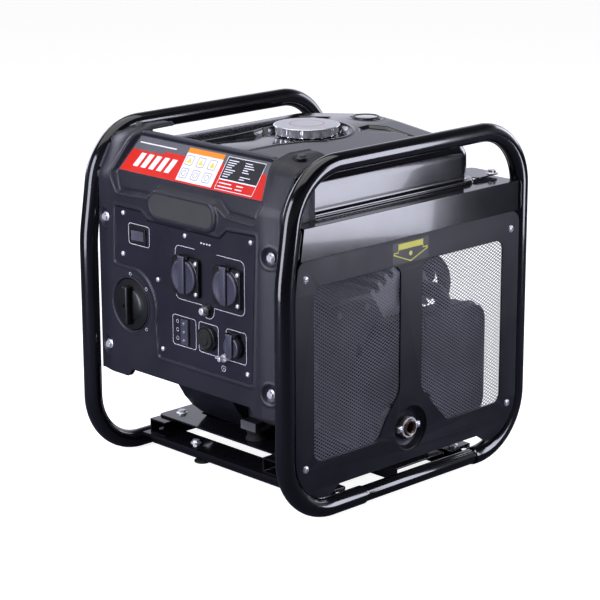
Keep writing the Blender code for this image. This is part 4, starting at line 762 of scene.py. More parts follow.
def label():
    """A printed label: a red field under a grey band, with plain blocks and no lettering."""
    tall = LABEL_TALL

    def edge(v, inset=0.0):
        return 0.1338 - 0.013 / tall * v - inset

    def film(outline, holes=(), thick=FILM):
        return prism("film", outline, 0.0, thick, FLAT, holes)

    low, high, trim = 0.0022, tall - 0.0015, 0.0003
    base = [(-edge(low), low), (edge(low), low), (edge(high), high), (-edge(high), high)]
    sticker("label_base", [film(base, thick=0.0004)], 0.0002, LABEL_GREY)
    step, level, rise = tall * 0.62, tall * 0.66, tall * 0.7
    sticker("label_red_field", [film([
        (-edge(low, trim), low + trim), (edge(low, trim), low + trim), (edge(level, trim), level),
        (0.115, level), (0.115, rise), (-0.064, rise), (-0.069, step), (-edge(step, trim), step),
    ])], 0.0006, LABEL_RED)
    for name, box, corner, thick, material in (
        ("label_white_block", (-0.026, 0.04, tall * 0.09, tall * 0.8), 0.0004, FILM, LABEL_WHITE),
        ("label_orange_strip", (-0.026, 0.04, tall * 0.8, tall * 0.93), 0.0003, FILM, LABEL_ORANGE),
        ("label_black_block", (0.047, 0.113, tall * 0.36, tall * 0.9), 0.0006, 0.00014, LABEL_BLACK),
    ):
        sticker(name, [film(rectangle(*box, corner), thick=thick)], 0.00074, material)

    lines = []
    for below, above in ((0.36, 0.9), (0.1, 0.33)):
        outer = rectangle(0.0462, 0.1138, tall * below - 0.0008, tall * above + 0.0008, 0.001)
        lines.append(film(outer, [rectangle(0.047, 0.113, tall * below, tall * above, 0.0006)], LINE))

    def stroke(u1, u2, v, thick, back=0.0, front=LINE):
        lines.append(block("line", (u1, v, back), (u2, v + thick, front)))

    for i in range(8):
        v = tall * (0.41 + 0.058 * i)
        stroke(0.05, 0.06 + 0.0025 * ((i * 5) % 4), v, 0.0011, 0.0001, 0.00022)
        if i != 2:
            stroke(0.08, 0.089 + 0.003 * ((i * 3) % 4), v, 0.0011, 0.0001, 0.00022)
    for i in range(2):
        v = tall * (0.155 + 0.085 * i)
        stroke(0.05, 0.076 - 0.004 * i, v, 0.0014)
        stroke(0.081, 0.093, v, 0.0014)
    for i in range(5):
        u = 0.015 * i - 0.112
        lines.append(film([(u, tall * 0.2), (u + 0.0092, tall * 0.2), (u + 0.0155, tall * 0.56),
                           (u + 0.0063, tall * 0.56)], thick=LINE))
    stroke(-0.118, -0.048, tall * 0.8, 0.0016, -FILM, 0.00004)
    sticker("label_white_lines", lines, 0.00086, LABEL_WHITE)

    icons = []
    dots = []
    for u in (-0.0165, 0.0045, 0.0255):
        for v in (tall * 0.62, tall * 0.29):
            outer, inner = (rectangle(u - half, u + half, v - half, v + half, corner)
                            for half, corner in ((0.0068, 0.0022), (0.006, 0.0016)))
            icons.append(film(outer, [inner]))
        dots.append(film([(u - 0.0044, tall * 0.62 - 0.0036), (u + 0.0044, tall * 0.62 - 0.0036),
                          (u, tall * 0.62 + 0.0042)]))
        icons.append(film(circle(u, tall * 0.29, 0.004, 20), [circle(u, tall * 0.29, 0.0033, 20)]))
    sticker("label_icon_frames", icons, 0.00086, LABEL_INK)
    sticker("label_icon_marks", dots, 0.00086, LABEL_YELLOW)


def badge():
    """A blank oval badge plate in the pad above the control plate."""
    width, low, high, radius = BADGE
    inset = 0.0068
    outline = rectangle(inset - width, width - inset, low + inset, high - inset, radius - inset, 5.0)
    plate = prism("badge_plate", outline, PANEL_Y - 0.003, PANEL_Y - 0.0012, FRONT)
    softened(plate, 0.0004, 2)
    settle(plate, BADGE_FACE)


def printed_lines():
    """The thin outlines round the outlets and switches, and the small marks on the dial."""
    lines = []

    def draw(line, width=0.0007, loop=True):
        lines.append(ribbon("line", line, width, PLATE_Y, FRONT, loop=loop))

    for u1, u2, v1, v2 in ((-0.105, -0.0645, 0.311, 0.338), (-0.022, 0.022, 0.195, 0.234),
                           (0.0274, 0.0634, 0.195, 0.234)):
        draw(rectangle(u1, u2, v1, v2, 0.004, 9.0))
    draw(rounded([(0.084, 0.195, 0.0), (0.1144, 0.195, 0.004), (0.1144, 0.235, 0.004), (0.078, 0.235, 0.004),
                  (0.078, 0.208, 0.0)], 9.0), loop=False)
    bump = [(0.0457 + 0.0112 * math.cos(t), 0.2517 + 0.0112 * math.sin(t))
            for t in np.linspace(math.radians(203), math.radians(337), 14)]
    low, high, corner = 0.256, 0.325, 0.008
    around = rounded([(0.022, high, 0.0), (-0.015, high, corner), (-0.015, low, corner), (0.034, low, 0.0)], 9.0)
    tail = rounded([(0.0574, low, 0.0), (0.112, low, corner), (0.112, high, corner), (0.062, high, 0.0)], 9.0)
    draw(around + bump + tail, loop=False)
    draw(circle(0.0726, 0.182, 0.0036, 24), 0.0006)
    for i, half in enumerate((0.002, 0.0013, 0.00065)):
        draw([(0.0726 - half, 0.1826 - 0.001 * i), (0.0726 + half, 0.1826 - 0.001 * i)], 0.0004, False)
    for z in (0.226, 0.215, 0.204):
        draw(circle(-0.013, z, 0.0022, 16), 0.0005)
    for i in range(4):
        draw([(0.033 + 0.005 * i, 0.335), (0.036 + 0.005 * i, 0.335)], 0.002, False)
    settle(merged("printed_lines", lines), PRINT)
    marks = []
    for t in (math.radians(degrees) for degrees in (90, 40, -43)):
        spot = circle(DIAL_AT[0] + 0.0405 * math.cos(t), DIAL_AT[1] + 0.0405 * math.sin(t), 0.002, 16)
        marks.append(ribbon("mark", spot, 0.0006, PANEL_Y - 0.0006, FRONT))
    settle(merged("dial_marks", marks), PRINT)


# ---------------------------------------------------------------- sockets, switches and dial
def socket_details():
    """The screws and raised rims of the outlets, and their flaps."""
    z, front = 0.2885, -0.2163
    for name, _ in SIDES:
        x = middle_of("socket_%s_base" % name).x
        profile = [(0.0228, 0.0), (0.0228, 0.0008), (0.0236, 0.0012), (0.0243, 0.0008), (0.0243, 0.0)]
        settle(turned("socket_%s_rim" % name, profile, (x, front + 0.0003, z), OUT, 72), BLACK, sharp=50)
        for level, side in (("low", -1), ("high", 1)):
            spot = (x + 0.0205, front + 0.0002, z + side * 0.0195)
            pan_screw("socket_%s_screw_%s" % (name, level), spot, OUT, 0.0031)
        flap(name + "_lid", "socket_%s_lid" % name, x, z, 0.022)
    flap("dc_lid", "dc_socket_lid", middle_of("dc_socket_lid").x, 0.2153, 0.0135)


def flap(body, node, x, z, radius):
    """A sprung flap: a dished disc with a raised bar over it and a hinge barrel."""
    (_, front, _), (_, back, top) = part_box(node)
    disc = turned("disc", [
        (0.0, 0.0), (radius, 0.0), (radius, 0.0022), (radius - 0.0008, 0.0032), (radius - 0.0025, 0.0036),
        (radius - 0.004, 0.003), (0.0, 0.003),
    ], (x, back, z), OUT, 96)
    foot = z - radius + 0.0008
    bar = block("grip", (x - 0.0055, front, foot), (x + 0.0055, back - 0.001, top - 0.0015), 0.0018, 4)
    pin = (front + 0.0022, top - 0.0018)
    barrel = rod("barrel", (x - 0.006, *pin), (x + 0.006, *pin), 0.0017, 24)
    settle(merged(node + "_flap", [disc, bar, barrel]), LID, node, body=body, sharp=40)


def dial():
    """The engine switch: a stepped disc and a bar grip with a square recess."""
    x, z = DIAL_AT
    y = PANEL_Y
    disc = turned("disc", [
        (0.0, 0.003), (0.0185, 0.003), (0.02, 0.0022), (0.0215, 0.0014), (0.031, 0.0014), (0.0328, 0.001),
        (0.0338, -0.0006), (0.0338, -0.006), (0.01, -0.006), (0.008, -0.026), (0.0, -0.026),
    ], (x, y, z), OUT, 96)
    grip = block("grip", (x - 0.0056, y - 0.0125, z - 0.0256), (x + 0.0056, y - 0.0005, z + 0.0256), 0.003, 5)
    recess = block("recess", (x - 0.0022, y - 0.015, z - 0.0022), (x + 0.0022, y - 0.0105, z + 0.0022))
    settle(merged("dial_knob", [disc, combined(grip, recess)]), BLACK, "engine_dial", body="dial", sharp=42)
    rim = turned("dial_well_rim", [(0.0346, -0.001), (0.035, 0.001), (0.0358, 0.0014), (0.0366, 0.0008),
                                   (0.0368, -0.001)], (x, y, z), OUT, 120)
    settle(rim, PLASTIC, sharp=60)


def small_controls():
    """The threaded collar, the port's ring and the indicator's face with its lamps."""
    face = PLATE_Y - 0.0003
    spot = (0.0457, face, 0.2517)
    bore, back = 0.0054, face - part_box("reset_collar")[1].y
    thread = [(bore, back), (0.0066, back)]
    for i in range(9):
        height = 0.0008 + i * 0.00062
        thread += [(0.0066, height), (0.0071, height + 0.00031)]
    collar = turned("reset_thread", [*thread, (0.0066, 0.0062), (bore, 0.0062)], spot, OUT, 40)
    settle(collar, STEEL, "reset_collar", slot="zinc_steel", sharp=60)
    profile = [(0.0073, 0.0), (0.0088, 0.0), (0.0088, 0.0014), (0.0082, 0.0022), (0.0073, 0.0022)]
    settle(turned("reset_base", profile, spot, OUT, 48), BLACK, sharp=40)
    inner, outer, high, trim = 0.0143, 0.016, 0.0056, 0.0006
    profile = [(inner, 0.0), (inner, high - trim), (inner + trim, high), (outer - trim, high),
               (outer, high - trim), (outer, 0.0)]
    settle(turned("charge_port_ring", profile, (0.046, face, 0.2156), OUT, 64), BLACK, sharp=50)
    x, z, front = 0.002, 0.2145, PLATE_Y - 0.0026
    plate = prism("indicator_face", rectangle(x - 0.0066, x + 0.0066, z - 0.0166, z + 0.0166, 0.001), front,
                  front + 0.0008, FRONT)
    softened(plate, 0.0003, 2)
    settle(plate, LID)
    lamps = [
        turned("lamp", [(0.0, 0.0016), (0.0016, 0.0013), (0.0023, 0.0004), (0.0024, 0.0), (0.0, 0.0)],
               (x, front, z + step), OUT, 24)
        for step in (-0.011, 0.0, 0.011)
    ]
    settle(merged("indicator_lamps", lamps), LENS, sharp=60)


# ---------------------------------------------------------------- fuel tank
SEAM_Z = UPPER_LOW.z
WALL_X = UPPER_HIGH.x - 0.006
WALL_FRONT = UPPER_LOW.y + 0.006
WALL_REAR = 0.15
DISH_RADIUS = 0.0545
SEAT_Z = 0.4375
NECK_RADIUS = 0.031
SHOULDER = 0.019
CROWN_Z = 0.44454


def round_box(low_x, high_x, low_y, high_y, radius):
    """Points of a rounded rectangle, by equal shares of its sides and corners."""
    bend, straight = 42, 84
    corners = [
        (high_x - radius, low_y + radius, -90), (high_x - radius, high_y - radius, 0),
        (low_x + radius, high_y - radius, 90), (low_x + radius, low_y + radius, 180),
    ]
    points = []
    for index, (cx, cy, start) in enumerate(corners):
        for i in range(bend):
            turn = math.radians(start + 90.0 * i / bend)
            points.append((cx + radius * math.cos(turn), cy + radius * math.sin(turn)))
        nx, ny, _ = corners[(index + 1) % 4]
        last = math.radians(start + 90.0)
        ax, ay = cx + radius * math.cos(last), cy + radius * math.sin(last)
        points += [(ax + (nx - cx) * i / straight, ay + (ny - cy) * i / straight) for i in range(straight)]
    return np.array(points)


def tank_height(x, y):
    """The pressed top: a crown, the dished filler seat with its channel, and two grooves behind it."""
    crown = np.where(np.abs(x) < 0.0413, CROWN_Z - x * x / 0.7, 0.447 - 0.11875 * np.abs(x))
    dish = np.hypot(x, y - CAP_Y) - DISH_RADIUS
    half = [(0.0345, -0.2), (0.036, -0.088), (0.043, -0.047), (0.054, -0.02)]
    channel = gap_to(x, y, [(-u, v) for u, v in half[::-1]] + half)
    both = np.minimum(dish, channel)
    deep = 0.007 - 0.0026 * ease(0.055, 0.125, -y)
    z = crown - deep * (1 - ease(-0.003, 0.003, both)) + 0.0008 * hump(both, 0.005, 0.004)
    z = np.where(dish < -0.004, SEAT_Z - 0.0035 * ease(-0.015, -0.0115, dish), z)
    for _, side in SIDES:
        groove = gap_to(side * x, y, [(0.05, 0.052), (0.036, 0.064), (0.034, 0.084), (0.052, 0.101),
                                      (0.12, 0.099), (0.072, 0.092), (0.062, 0.066)])
        z = z - 0.003 * (1 - ease(-0.005, 0.001, groove))
    gauge = np.hypot(x, y - GAUGE_Y)
    return z - 0.0016 * (1 - ease(0.0195, 0.0225, gauge)) + 0.0005 * hump(gauge, 0.024, 0.003)


def tank_top():
    """The upper half of the tank, as one skin from the filler neck to the seam flange."""
    outer = round_box(-WALL_X, WALL_X, WALL_FRONT, WALL_REAR, 0.0235)
    flange = round_box(-UPPER_HIGH.x, UPPER_HIGH.x, UPPER_LOW.y, WALL_REAR + 0.008, 0.026)
    edge_x = WALL_X - SHOULDER
    edge = round_box(-edge_x, edge_x, WALL_FRONT + SHOULDER, WALL_REAR - SHOULDER, 0.007)
    centre = np.array([0.0, CAP_Y])
    turn = np.arctan2(edge[:, 1] - CAP_Y, edge[:, 0])
    neck = centre + (NECK_RADIUS - 0.0032) * np.stack([np.cos(turn), np.sin(turn)], axis=1)
    rings = []

    def ring(flat, height):
        rings.append(np.column_stack([flat, height + np.zeros(len(flat))]))

    crown_rings = 78
    for i in range(crown_rings):
        flat = neck + (edge - neck) * (i / crown_rings)
        ring(flat, tank_height(*flat.T))
    for i in range(13):
        angle = math.radians(90.0 * i / 12)
        flat = edge + (outer - edge) * math.sin(angle)
        ring(flat, tank_height(*flat.T) - SHOULDER * (1 - math.cos(angle)) * 0.98)
    base = rings[-1][:, 2]
    for part in (0.12, 0.3, 0.5, 0.7, 0.86, 0.95):
        bow = 0.0012 * math.sin(math.pi * part)
        ring(centre + (outer - centre) * (1 + bow), base + (SEAM_Z + 0.0052 - base) * part)
    for i in range(6):
        angle = math.radians(90.0 * i / 5)
        share = 0.55 * (1 - math.cos(angle))
        ring(outer + (flange - outer) * share, SEAM_Z + 0.0052 - 0.0031 * math.sin(angle))
    for share, height in ((0.93, 0.0021), (1.0, 0.0014), (1.0, 0.0004), (0.3, 0.0002)):
        ring(outer + (flange - outer) * share, SEAM_Z + height)
    top = skin("tank_top_skin", np.stack(rings), True, lambda spot: spot.z, UP)
    neck_ring = turned("tank_neck", [
        (NECK_RADIUS - 0.003, -0.012), (NECK_RADIUS - 0.003, 0.0036), (NECK_RADIUS - 0.0015, 0.0041),
        (NECK_RADIUS, 0.0036), (NECK_RADIUS, 0.0006), (NECK_RADIUS + 0.0016, -0.0004),
        (NECK_RADIUS + 0.0016, -0.012),
    ], (0, CAP_Y, SEAT_Z), UP, 96)
    parts = [top, neck_ring]
    for _, side in SIDES:
        near, far = sorted(side * (UPPER_HIGH.x - inset) for inset in (0.004, 0.055))
        parts.append(prism("ear", rectangle(near, far, WALL_REAR + 0.004, UPPER_HIGH.y, 0.008),
                           SEAM_Z + 0.0004, SEAM_Z + 0.002, FLAT))
    settle(merged("tank_upper_shell", parts), PAINT, "fuel_tank_upper", sharp=50)
    for name, side in SIDES:
        hex_bolt("tank_ear_bolt_" + name, (side * 0.156, 0.1905, SEAM_Z + 0.002), UP, 0.0055)


def filler_cap():
    """The fluted chrome cap with its frosted, slightly domed top."""
    low, high = 0.4385, CAP_HIGH.z
    flutes = 16
    turns = np.linspace(0, 2 * math.pi, flutes * 18, endpoint=False)
    wave = np.abs(np.cos(turns * flutes / 2))
    rings = []
    for inset, height, flute in (
        (CAP_RADIUS - NECK_RADIUS - 0.002, low + 0.0006, 0.0), (0.0036, low, 0.0),
        (0.0026, low + 0.0006, 1.0), (0.0024, low + 0.0014, 1.0), (0.0022, high - 0.0036, 1.0),
        (0.0018, high - 0.003, 0.4),
        (0.0004, high - 0.0026, 0.0), (0.0, high - 0.002, 0.0), (0.0004, high - 0.0014, 0.0),
        (0.0014, high - 0.0011, 0.0), (0.0019, high - 0.0013, 0.0), (0.0024, high - 0.003, 0.0),
        (CAP_RADIUS - 0.01, high - 0.003, 0.0),
    ):
        r = CAP_RADIUS - inset - 0.0024 * (1 - wave) * flute
        rings.append(np.stack([r * np.cos(turns), CAP_Y + r * np.sin(turns), height + 0 * turns], axis=1))
    rim = skin("cap_rim", np.stack(rings), True, lambda spot: spot.x, RIGHT)
    centre = (0, CAP_Y, 0)
    plug = turned("cap_plug", [
        (0.0, high - 0.0032), (CAP_RADIUS - 0.005, high - 0.0032), (CAP_RADIUS - 0.005, 0.4392),
        (NECK_RADIUS + 0.002, 0.4392), (NECK_RADIUS + 0.002, 0.4436), (NECK_RADIUS - 0.0065, 0.4436),
        (NECK_RADIUS - 0.0065, SEAT_Z - 0.009), (NECK_RADIUS - 0.0085, SEAT_Z - 0.01), (0.0, SEAT_Z - 0.01),
    ], centre, UP, 72)
    settle(merged("cap_body", [rim, plug]), CHROME, "fuel_cap", body="cap", sharp=50)
    face = CAP_RADIUS - 0.002
    dome = [(face * i / 12, high - 0.0002 - 0.001 * (i / 12) ** 2) for i in range(13)]
    disc = turned("cap_top_disc", [*dome, (face, high - 0.0031), (0.0, high - 0.0031)], centre, UP, 96)
    settle(disc, SILVER, body="cap", sharp=40)
    profile = [(r, high - depth) for r, depth in ((0.0215, 0.0005), (0.0215, 0.00036), (0.0232, 0.00042),
                                                  (0.0232, 0.0008))]
    settle(turned("cap_top_ring", profile, centre, UP, 96), PINK, body="cap")


def fuel_gauge():
    """The round level gauge: a black bezel with a pale lens in it, on its float's stem."""
    spot = (0, GAUGE_Y, CROWN_Z)
    bezel = turned("gauge_bezel", [
        (0.015, -0.016), (0.015, 0.0012), (0.0158, 0.002), (0.0172, 0.0022), (0.0183, 0.0016),
        (0.0189, 0.0006), (0.0189, -0.0006), (0.0165, -0.0006), (0.0165, -0.016),
    ], spot, UP, 96)
    lens = turned("gauge_lens", [(0.0, 0.0022), (0.006, 0.0021), (0.011, 0.0017), (0.0149, 0.001),
                                 (0.0149, -0.002), (0.0, -0.002)], spot, UP, 72)
    stem = rod("gauge_stem", (0, GAUGE_Y, CROWN_Z - 0.034), (0, GAUGE_Y, CROWN_Z - 0.002), 0.003, 20)
    settle(merged("gauge_body", [bezel, stem]), BLACK, "fuel_gauge", sharp=50)
    settle(lens, WHITE_LENS, sharp=50)


# ---------------------------------------------------------------- side panel and its screen
INNER_X = SIDE_X - 0.0015
DIMPLE = (0.0, 0.084)
DIMPLE_RADIUS = 0.0295
RAIL_BOTTOM = RAIL_LOW.z


def side_windows(grow=0.0):
    """The two ventilation windows of the side panel, with a chamfer by the outlet."""
    top = RAIL_BOTTOM - 0.034 + grow
    bottom = 0.079 - grow
    edge = REAR_Y - 0.04 + grow
    corner = 0.014 + grow
    front = [
        (-edge, bottom, corner), (grow * 0.5 - 0.06, bottom, corner), (grow - 0.042, 0.108, 0.02),
        (grow - 0.02, 0.137, 0.02), (grow - 0.02, top, corner), (-edge, top, corner),
    ]
    rear = [
        (edge, bottom, corner), (0.068 - grow * 0.5, bottom, corner), (0.025 - grow, 0.124, 0.008),
        (0.018 - grow, 0.137, 0.008), (0.018 - grow, top, corner), (edge, top, corner),
    ]
    return rounded(front, 7.5), rounded(rear, 7.5)


def side_panel():
    """The sheet panel in the right loop: rolled windows, a dished outlet recess and its screws."""
    edge = REAR_Y - math.sqrt((TUBE + 0.0003) ** 2 - (INNER_X - LOOP_X) ** 2)
    lobe, low, corner, top = 0.03, 0.042, 0.058, RAIL_BOTTOM - 0.0003
    lean = LEAN * (RAIL_BOTTOM - LEAN_Z) + 0.001
    outline = rounded([
        (-edge, lobe, corner), (-0.146, lobe, 0.0), (-0.128, low, 0.0), (0.128, low, 0.0), (0.146, lobe, 0.0),
        (edge, lobe, corner), (edge, top, 0.015), (lean - edge, top, 0.012), (-edge, 0.294, 0.0),
    ], 5.0)
    radius = DIMPLE_RADIUS
    holes = [*side_windows(), circle(*DIMPLE, radius, 96)]
    panel = prism("panel_sheet", outline, INNER_X, SIDE_X, SIDE, holes)
    softened(panel, 0.0006, 3, 25)
    dish = turned("panel_dish", [
        (radius + 0.003, 0.0), (radius + 0.003, -0.0012), (radius + 0.0002, -0.0016),
        (radius - 0.0022, -0.0035), (radius - 0.004, -0.01), (0.017, -0.01), (0.017, -0.0087),
        (0.0235, -0.0087), (radius - 0.0036, -0.0074), (radius - 0.002, -0.004),
        (radius - 0.0014, -0.0015), (radius - 0.0006, -0.0002), (radius + 0.0008, 0.0),
    ], (INNER_X, *DIMPLE), RIGHT, 96)
    wire = 0.0011
    rims = [tube("rim", [(SIDE_X - wire, *spot) for spot in window], wire, 10, True)
            for window in side_windows(-0.0001)]
    settle(merged("side_panel_sheet", [panel, dish, *rims]), SATIN, "side_panel_right", sharp=60)
    spots = [(SIDE_X - 0.0009, y, z) for z in (0.313, 0.0745) for y in (-0.18715, 0.18715)]
    fasten(pan_screw, "side_bolt", spots, RIGHT, 0.0052)


def marker_sticker():
    """A plain dark sticker with a yellow bar and an outlined arrow below it."""
    mid, high = -0.004, 0.331
    base, front = SIDE_X + 0.0002, SIDE_X + 0.0004
    film = prism("sticker_base", rectangle(-0.037, 0.029, 0.3035, 0.331, 0.001), SIDE_X, base, SIDE)
    settle(film, STICKER)
    bar = prism("bar", rectangle(mid - 0.0225, mid + 0.0225, high - 0.0095, high - 0.002), base, front, SIDE)
    half = [(0.0225, -0.0095), (0.0225, -0.0125), (0.0305, -0.0125), (0.0305, -0.0145)]
    outline = [(mid - u, high + v) for u, v in half] + [(mid, high - 0.0262)]
    outline += [(mid + u, high + v) for u, v in half[::-1]]
    arrow = ribbon("arrow", outline, 0.0014, base, SIDE, loop=False, thick=0.0002)
    dot = prism("dot", circle(mid, high - 0.0165, 0.003, 20), base, front, SIDE)
    settle(merged("sticker_marks", [bar, arrow, dot]), YELLOW)


def screen():
    """Expanded metal: rows of diamonds with slanting strands, trimmed to the sheet's outline."""
    low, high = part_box("mesh_screen")
    outline = [
        (low.y, low.z), (-0.052, low.z), (-0.034, 0.1), (-0.034, 0.12), (0.034, 0.12), (0.034, 0.098),
        (0.06, low.z), (high.y, low.z), (high.y, high.z), (low.y, high.z),
    ]
    long_half, short_half = 0.0036, 0.0023
    open_share = 0.79
    tilt = 0.00042
    middle = (low.x + high.x) / 2
    columns = int((high.y - low.y) / (2 * long_half)) + 1
    rows = int((high.z - low.z) / short_half)
    centres = np.array([
        (low.y + long_half * (2 * column + row % 2), low.z + short_half * (row + 0.5))
        for row in range(rows) for column in range(columns)
    ])
    centres = centres[gap_to(*centres.T, outline) < -long_half]
    corners = ((long_half, 0.0, 0.0), (0.0, short_half, tilt),
               (-long_half, 0.0, 0.0), (0.0, -short_half, -tilt))
    verts = []
    faces = []
    spots = {}
    for y, z in centres:
        ring = []
        for dy, dz, _ in corners:
            key = (round((y + dy) * 1e5), round((z + dz) * 1e5))
            if key not in spots:
                spots[key] = len(verts)
                verts.append((middle, y + dy, z + dz))
            ring.append(spots[key])
        inner = range(len(verts), len(verts) + 4)
        verts += [(middle + lift, y + dy * open_share, z + dz * open_share) for dy, dz, lift in corners]
        faces += [(ring[k], ring[k - 3], inner[k - 3], inner[k]) for k in range(4)]
    mesh = bpy.data.meshes.new("expanded_screen")
    mesh.from_pydata(verts, [], faces)
    obj = place("expanded_screen", mesh)
    sheet = obj.modifiers.new("sheet", "SOLIDIFY")
    sheet.thickness = 0.0007
    sheet.offset = 0
    settle(obj, SCREEN, "mesh_screen")


def outlet():
    """The exhaust outlet: a rolled pipe end in a clamp with two screws."""
    y, z = DIMPLE
    low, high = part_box("exhaust_outlet")
    end = high.x
    length = end - low.x
    pipe = turned("outlet_pipe", [
        (0.0, 0.0), (0.016, 0.0), (0.016, 0.003), (0.0095, 0.004), (0.0095, length - 0.014),
        (0.0112, length - 0.0125), (0.0112, length - 0.003), (0.0104, length - 0.0012), (0.009, length),
        (0.0074, length - 0.0008), (0.0068, length - 0.003), (0.0068, 0.004), (0.0, 0.004),
    ], (low.x, y, z), RIGHT, 72)
    settle(pipe, TIP, "exhaust_outlet", sharp=50)
    parts = [
        block("lug", (end - 0.0085, y + side * 0.0145 - 0.006, z - 0.0042),
              (end - 0.0035, y + side * 0.0145 + 0.006, z + 0.0042), 0.0012, 3)
        for _, side in SIDES
    ]
    profile = [(0.0114, 0.0), (0.0134, 0.0), (0.0138, 0.001), (0.0138, 0.005), (0.0134, 0.006), (0.0114, 0.006)]
    parts.append(turned("clamp", profile, (end - 0.009, y, z), RIGHT, 64))
    settle(merged("outlet_clamp", parts), ZINC, sharp=45)
    for name, side in (("front", -1), ("rear", 1)):
        pan_screw("outlet_screw_" + name, (end - 0.0036, y + side * 0.0165, z), RIGHT, 0.003)


# ---------------------------------------------------------------- tubes and bed
def frame_loops():
    """The two bent tube loops, with the swaged sleeves of their bottom runs."""
    line = rounded([
        (FRONT_Y, TUBE, 0.078), (REAR_Y, TUBE, 0.078), (REAR_Y, TOP_Z, 0.078),
        (FRONT_Y + LEAN * (TOP_Z - LEAN_Z), TOP_Z, 0.078), (FRONT_Y, LEAN_Z, 0.2),
    ], 3.0)
    steps = ((-0.003, 0.999), (-0.0008, 0.985), (0.0, 0.83), (0.002, 0.81), (0.0045, 0.865))
    sleeve = [(-0.079 + offset, share) for offset, share in steps]
    sleeve += [(0.128 - offset, share) for offset, share in steps[::-1]]
    bend_end = max(i for i, (y, z) in enumerate(line) if abs(z - TUBE) < 0.0001 and y < 0)
    for name, side in SIDES:
        x = side * LOOP_X
        points = [(x, *spot) for spot in line]
        points[bend_end + 1:bend_end + 1] = [(x, y, line[bend_end].y) for y, _ in sleeve]
        radii = [0.999] * len(line)
        radii[bend_end + 1:bend_end + 1] = [share for _, share in sleeve]
        settle(tube("frame_tube_" + name, points, TUBE, 32, True, radii), PAINT, "frame_loop_" + name)


def weld_bead(start, end, out, radius=0.0017, ripples=14):
    """A rippled weld bead between two points."""
    start, end, out = Vector(start), Vector(end), Vector(out)
    points = []
    radii = []
    count = ripples * 5
    for share in (i / count for i in range(count + 1)):
        wave = math.sin(share * ripples * 2 * math.pi)
        points.append(start.lerp(end, share) + out * (0.00025 * wave + 0.0004 * math.sin(share * 11.0)))
        radii.append((1.0 + 0.2 * wave) * min(1.0, 0.35 + 6 * share, 0.35 + 6 * (1 - share)))
    return tube("bead", points, radius, 12, False, radii)


def welds():
    """The beads where the rails and the cross tubes meet the loops."""
    beads = []
    z1, z2 = RAIL_BOTTOM + 0.002, RAIL_HIGH.z - 0.001
    front1, front2 = (FRONT_Y + TUBE * 0.62 + LEAN * (z - LEAN_Z) for z in (z1, z2))
    rear = REAR_Y - TUBE * 0.66
    for _, side in SIDES:
        x = side * (RAIL_HIGH.x - 0.001)
        beads.append(weld_bead((x, front1, z1), (x, front2, z2), (0, 1, 0)))
        beads.append(weld_bead((x, rear, z1), (x, rear, z2), (0, 1, 0)))
        x, z = side * (LOOP_X - TUBE - 0.0002), 0.0205
        for y in (-0.118, 0.118):
            for turn in (-1, 1):
                beads.append(weld_bead((x, y + turn * 0.0085, z), (x, y + turn * 0.0205, z), UP, 0.0016, 6))
    whole = merged("weld_beads", beads)
    whole.data.shade_smooth()
    settle(whole, PAINT)


def bed_bolts():
    height = 0.0241
    for name, side in SIDES:
        for end, y in (("front", -0.118), ("rear", 0.118)):
            hex_bolt("bed_bolt_%s_%s" % (name, end), (side * 0.16, y, height), UP, 0.005)
    spots = [(x, y, 0.0479) for y in (-0.096, 0.096) for x in (-0.14, 0.078)]
    fasten(hex_bolt, "mount_bolt", spots, UP, 0.0052)
    hex_bolt("channel_bolt", (-0.086, -0.119, height), UP, 0.005)


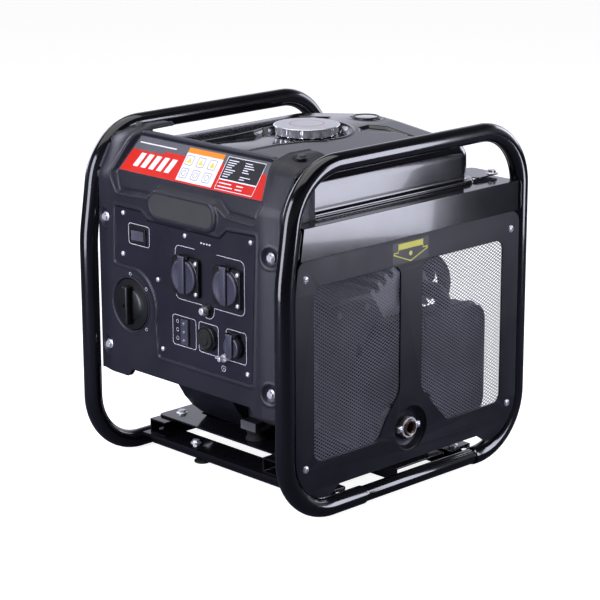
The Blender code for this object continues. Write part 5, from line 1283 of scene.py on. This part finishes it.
# ---------------------------------------------------------------- engine
def engine_details():
    """Bolts on the covers, louvres in the starter cover and seams round the silencer and the air box."""
    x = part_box("crankcase_cover")[1].x
    spots = ((-0.08, 0.084), (-0.084, 0.11), (-0.082, 0.163), (-0.04, 0.222), (0.01, 0.224), (0.06, 0.19),
             (0.062, 0.12), (0.05, 0.084))
    fasten(hex_bolt, "case_bolt", [(x - 0.0002, *spot) for spot in spots], RIGHT, 0.0046, material=CASTING_WITH_PAINTED_SHADE)
    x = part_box("muffler")[1].x
    seam = rounded([(-0.0515, 0.0505, 0.017), (0.1915, 0.0505, 0.021), (0.1915, 0.2065, 0.021),
                    (0.0234, 0.2065, 0.021), (-0.0515, 0.1186, 0.031)], 7.5)
    settle(tube("muffler_seam", [(x - 0.015, *spot) for spot in seam], 0.0016, 12, True), STEEL)
    spots = ((-0.03, 0.07), (0.17, 0.072), (0.17, 0.185), (0.05, 0.19))
    fasten(hex_bolt, "muffler_bolt", [(x - 0.0001, *spot) for spot in spots], RIGHT, 0.0042, material=STEEL)

    def on_ring(x, radius, turn):
        return Vector((x, CRANK.y + radius * math.cos(turn), CRANK.z + radius * math.sin(turn)))

    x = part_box("recoil_cover")[0].x + 0.0001
    slots = []
    for radius, count in ((0.034, 12), (0.055, 18), (0.073, 24)):
        for turn in (2 * math.pi * (i + 0.5) / count for i in range(count)):
            louvre = block("louvre", (-0.001, -0.0065, -0.0016), (0.001, 0.0065, 0.0016), 0.0008, 2)
            spot = Matrix.Translation(on_ring(x, radius, turn))
            louvre.matrix_world = spot @ Matrix.Rotation(turn + math.pi / 2, 4, "X")
            slots.append(louvre)
    settle(merged("recoil_louvres", slots), SATIN, sharp=40)
    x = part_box("fan_housing")[0].x + 0.0001
    spots = [on_ring(x, 0.1045, 2 * math.pi * (i + 0.25) / 6) for i in range(6)]
    fasten(hex_bolt, "fan_bolt", spots, (-1, 0, 0), 0.0045)
    low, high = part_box("air_cleaner_box")
    grow = 0.0012
    outline = rectangle(low.y - grow, high.y + grow, low.z - grow, high.z + grow, 0.009)
    band = prism("air_cleaner_lid_seam", outline, low.x + 0.018, low.x + 0.0212, SIDE)
    softened(band, 0.0008, 2)
    settle(band, BLACK)


# ---------------------------------------------------------------- CAD nodes with broken edges
FINISHES = (
    (PLASTIC, "control_panel_housing"),
    (PLATE, "control_plate"),
    (SATIN, "side_panel_right valve_cover fan_housing recoil_cover"),
    (CASTING_WITH_PAINTED_SHADE, "crankcase crankcase_cover"),
    (ALUMINIUM, "cylinder cylinder_head carburettor inverter_module"),
    (RUBBER, "spark_plug_cap fuel_cap_gasket charge_port_cap rubber_foot engine_mount_1 engine_mount_2 "
             "engine_mount_3 engine_mount_4"),
    (ZINC, "crankshaft exhaust_outlet reset_collar reset_button ground_stud wing_nut"),
    (COPPER, "alternator_stator"),
    (STEEL, "alternator_rotor muffler heat_shield mesh_screen"),
    (BLACK, "recoil_pulley starter_handle air_cleaner_box fuel_gauge charge_port_body dc_socket_base "
            "socket_left_base socket_right_base engine_dial rocker_bezel indicator_module oil_dipstick"),
    (CHROME, "fuel_cap"),
    (LID, "dc_socket_lid socket_left_lid socket_right_lid rocker_switch"),
)


def dress_nodes():
    """A finish and softened edges for every CAD node. Those that no finish names are gloss black paint."""
    finish_of = {node: material for material, nodes in FINISHES for node in nodes.split()}
    for node, obj in NODES.items():
        material = finish_of.get(node, PAINT)
        shade(obj, material, "black_satin_metal" if node == "mesh_screen" else SLOT_OF[material.name])
        softened(obj, 0.0006, 2, 32.0, weld=0.00001, flat=0.5)


camera()
studio()
dress_nodes()
panel_shell()
label()
badge()
printed_lines()
socket_details()
dial()
small_controls()
panel_screws()
tank_top()
filler_cap()
fuel_gauge()
side_panel()
marker_sticker()
screen()
outlet()
frame_loops()
welds()
bed_bolts()
engine_details()
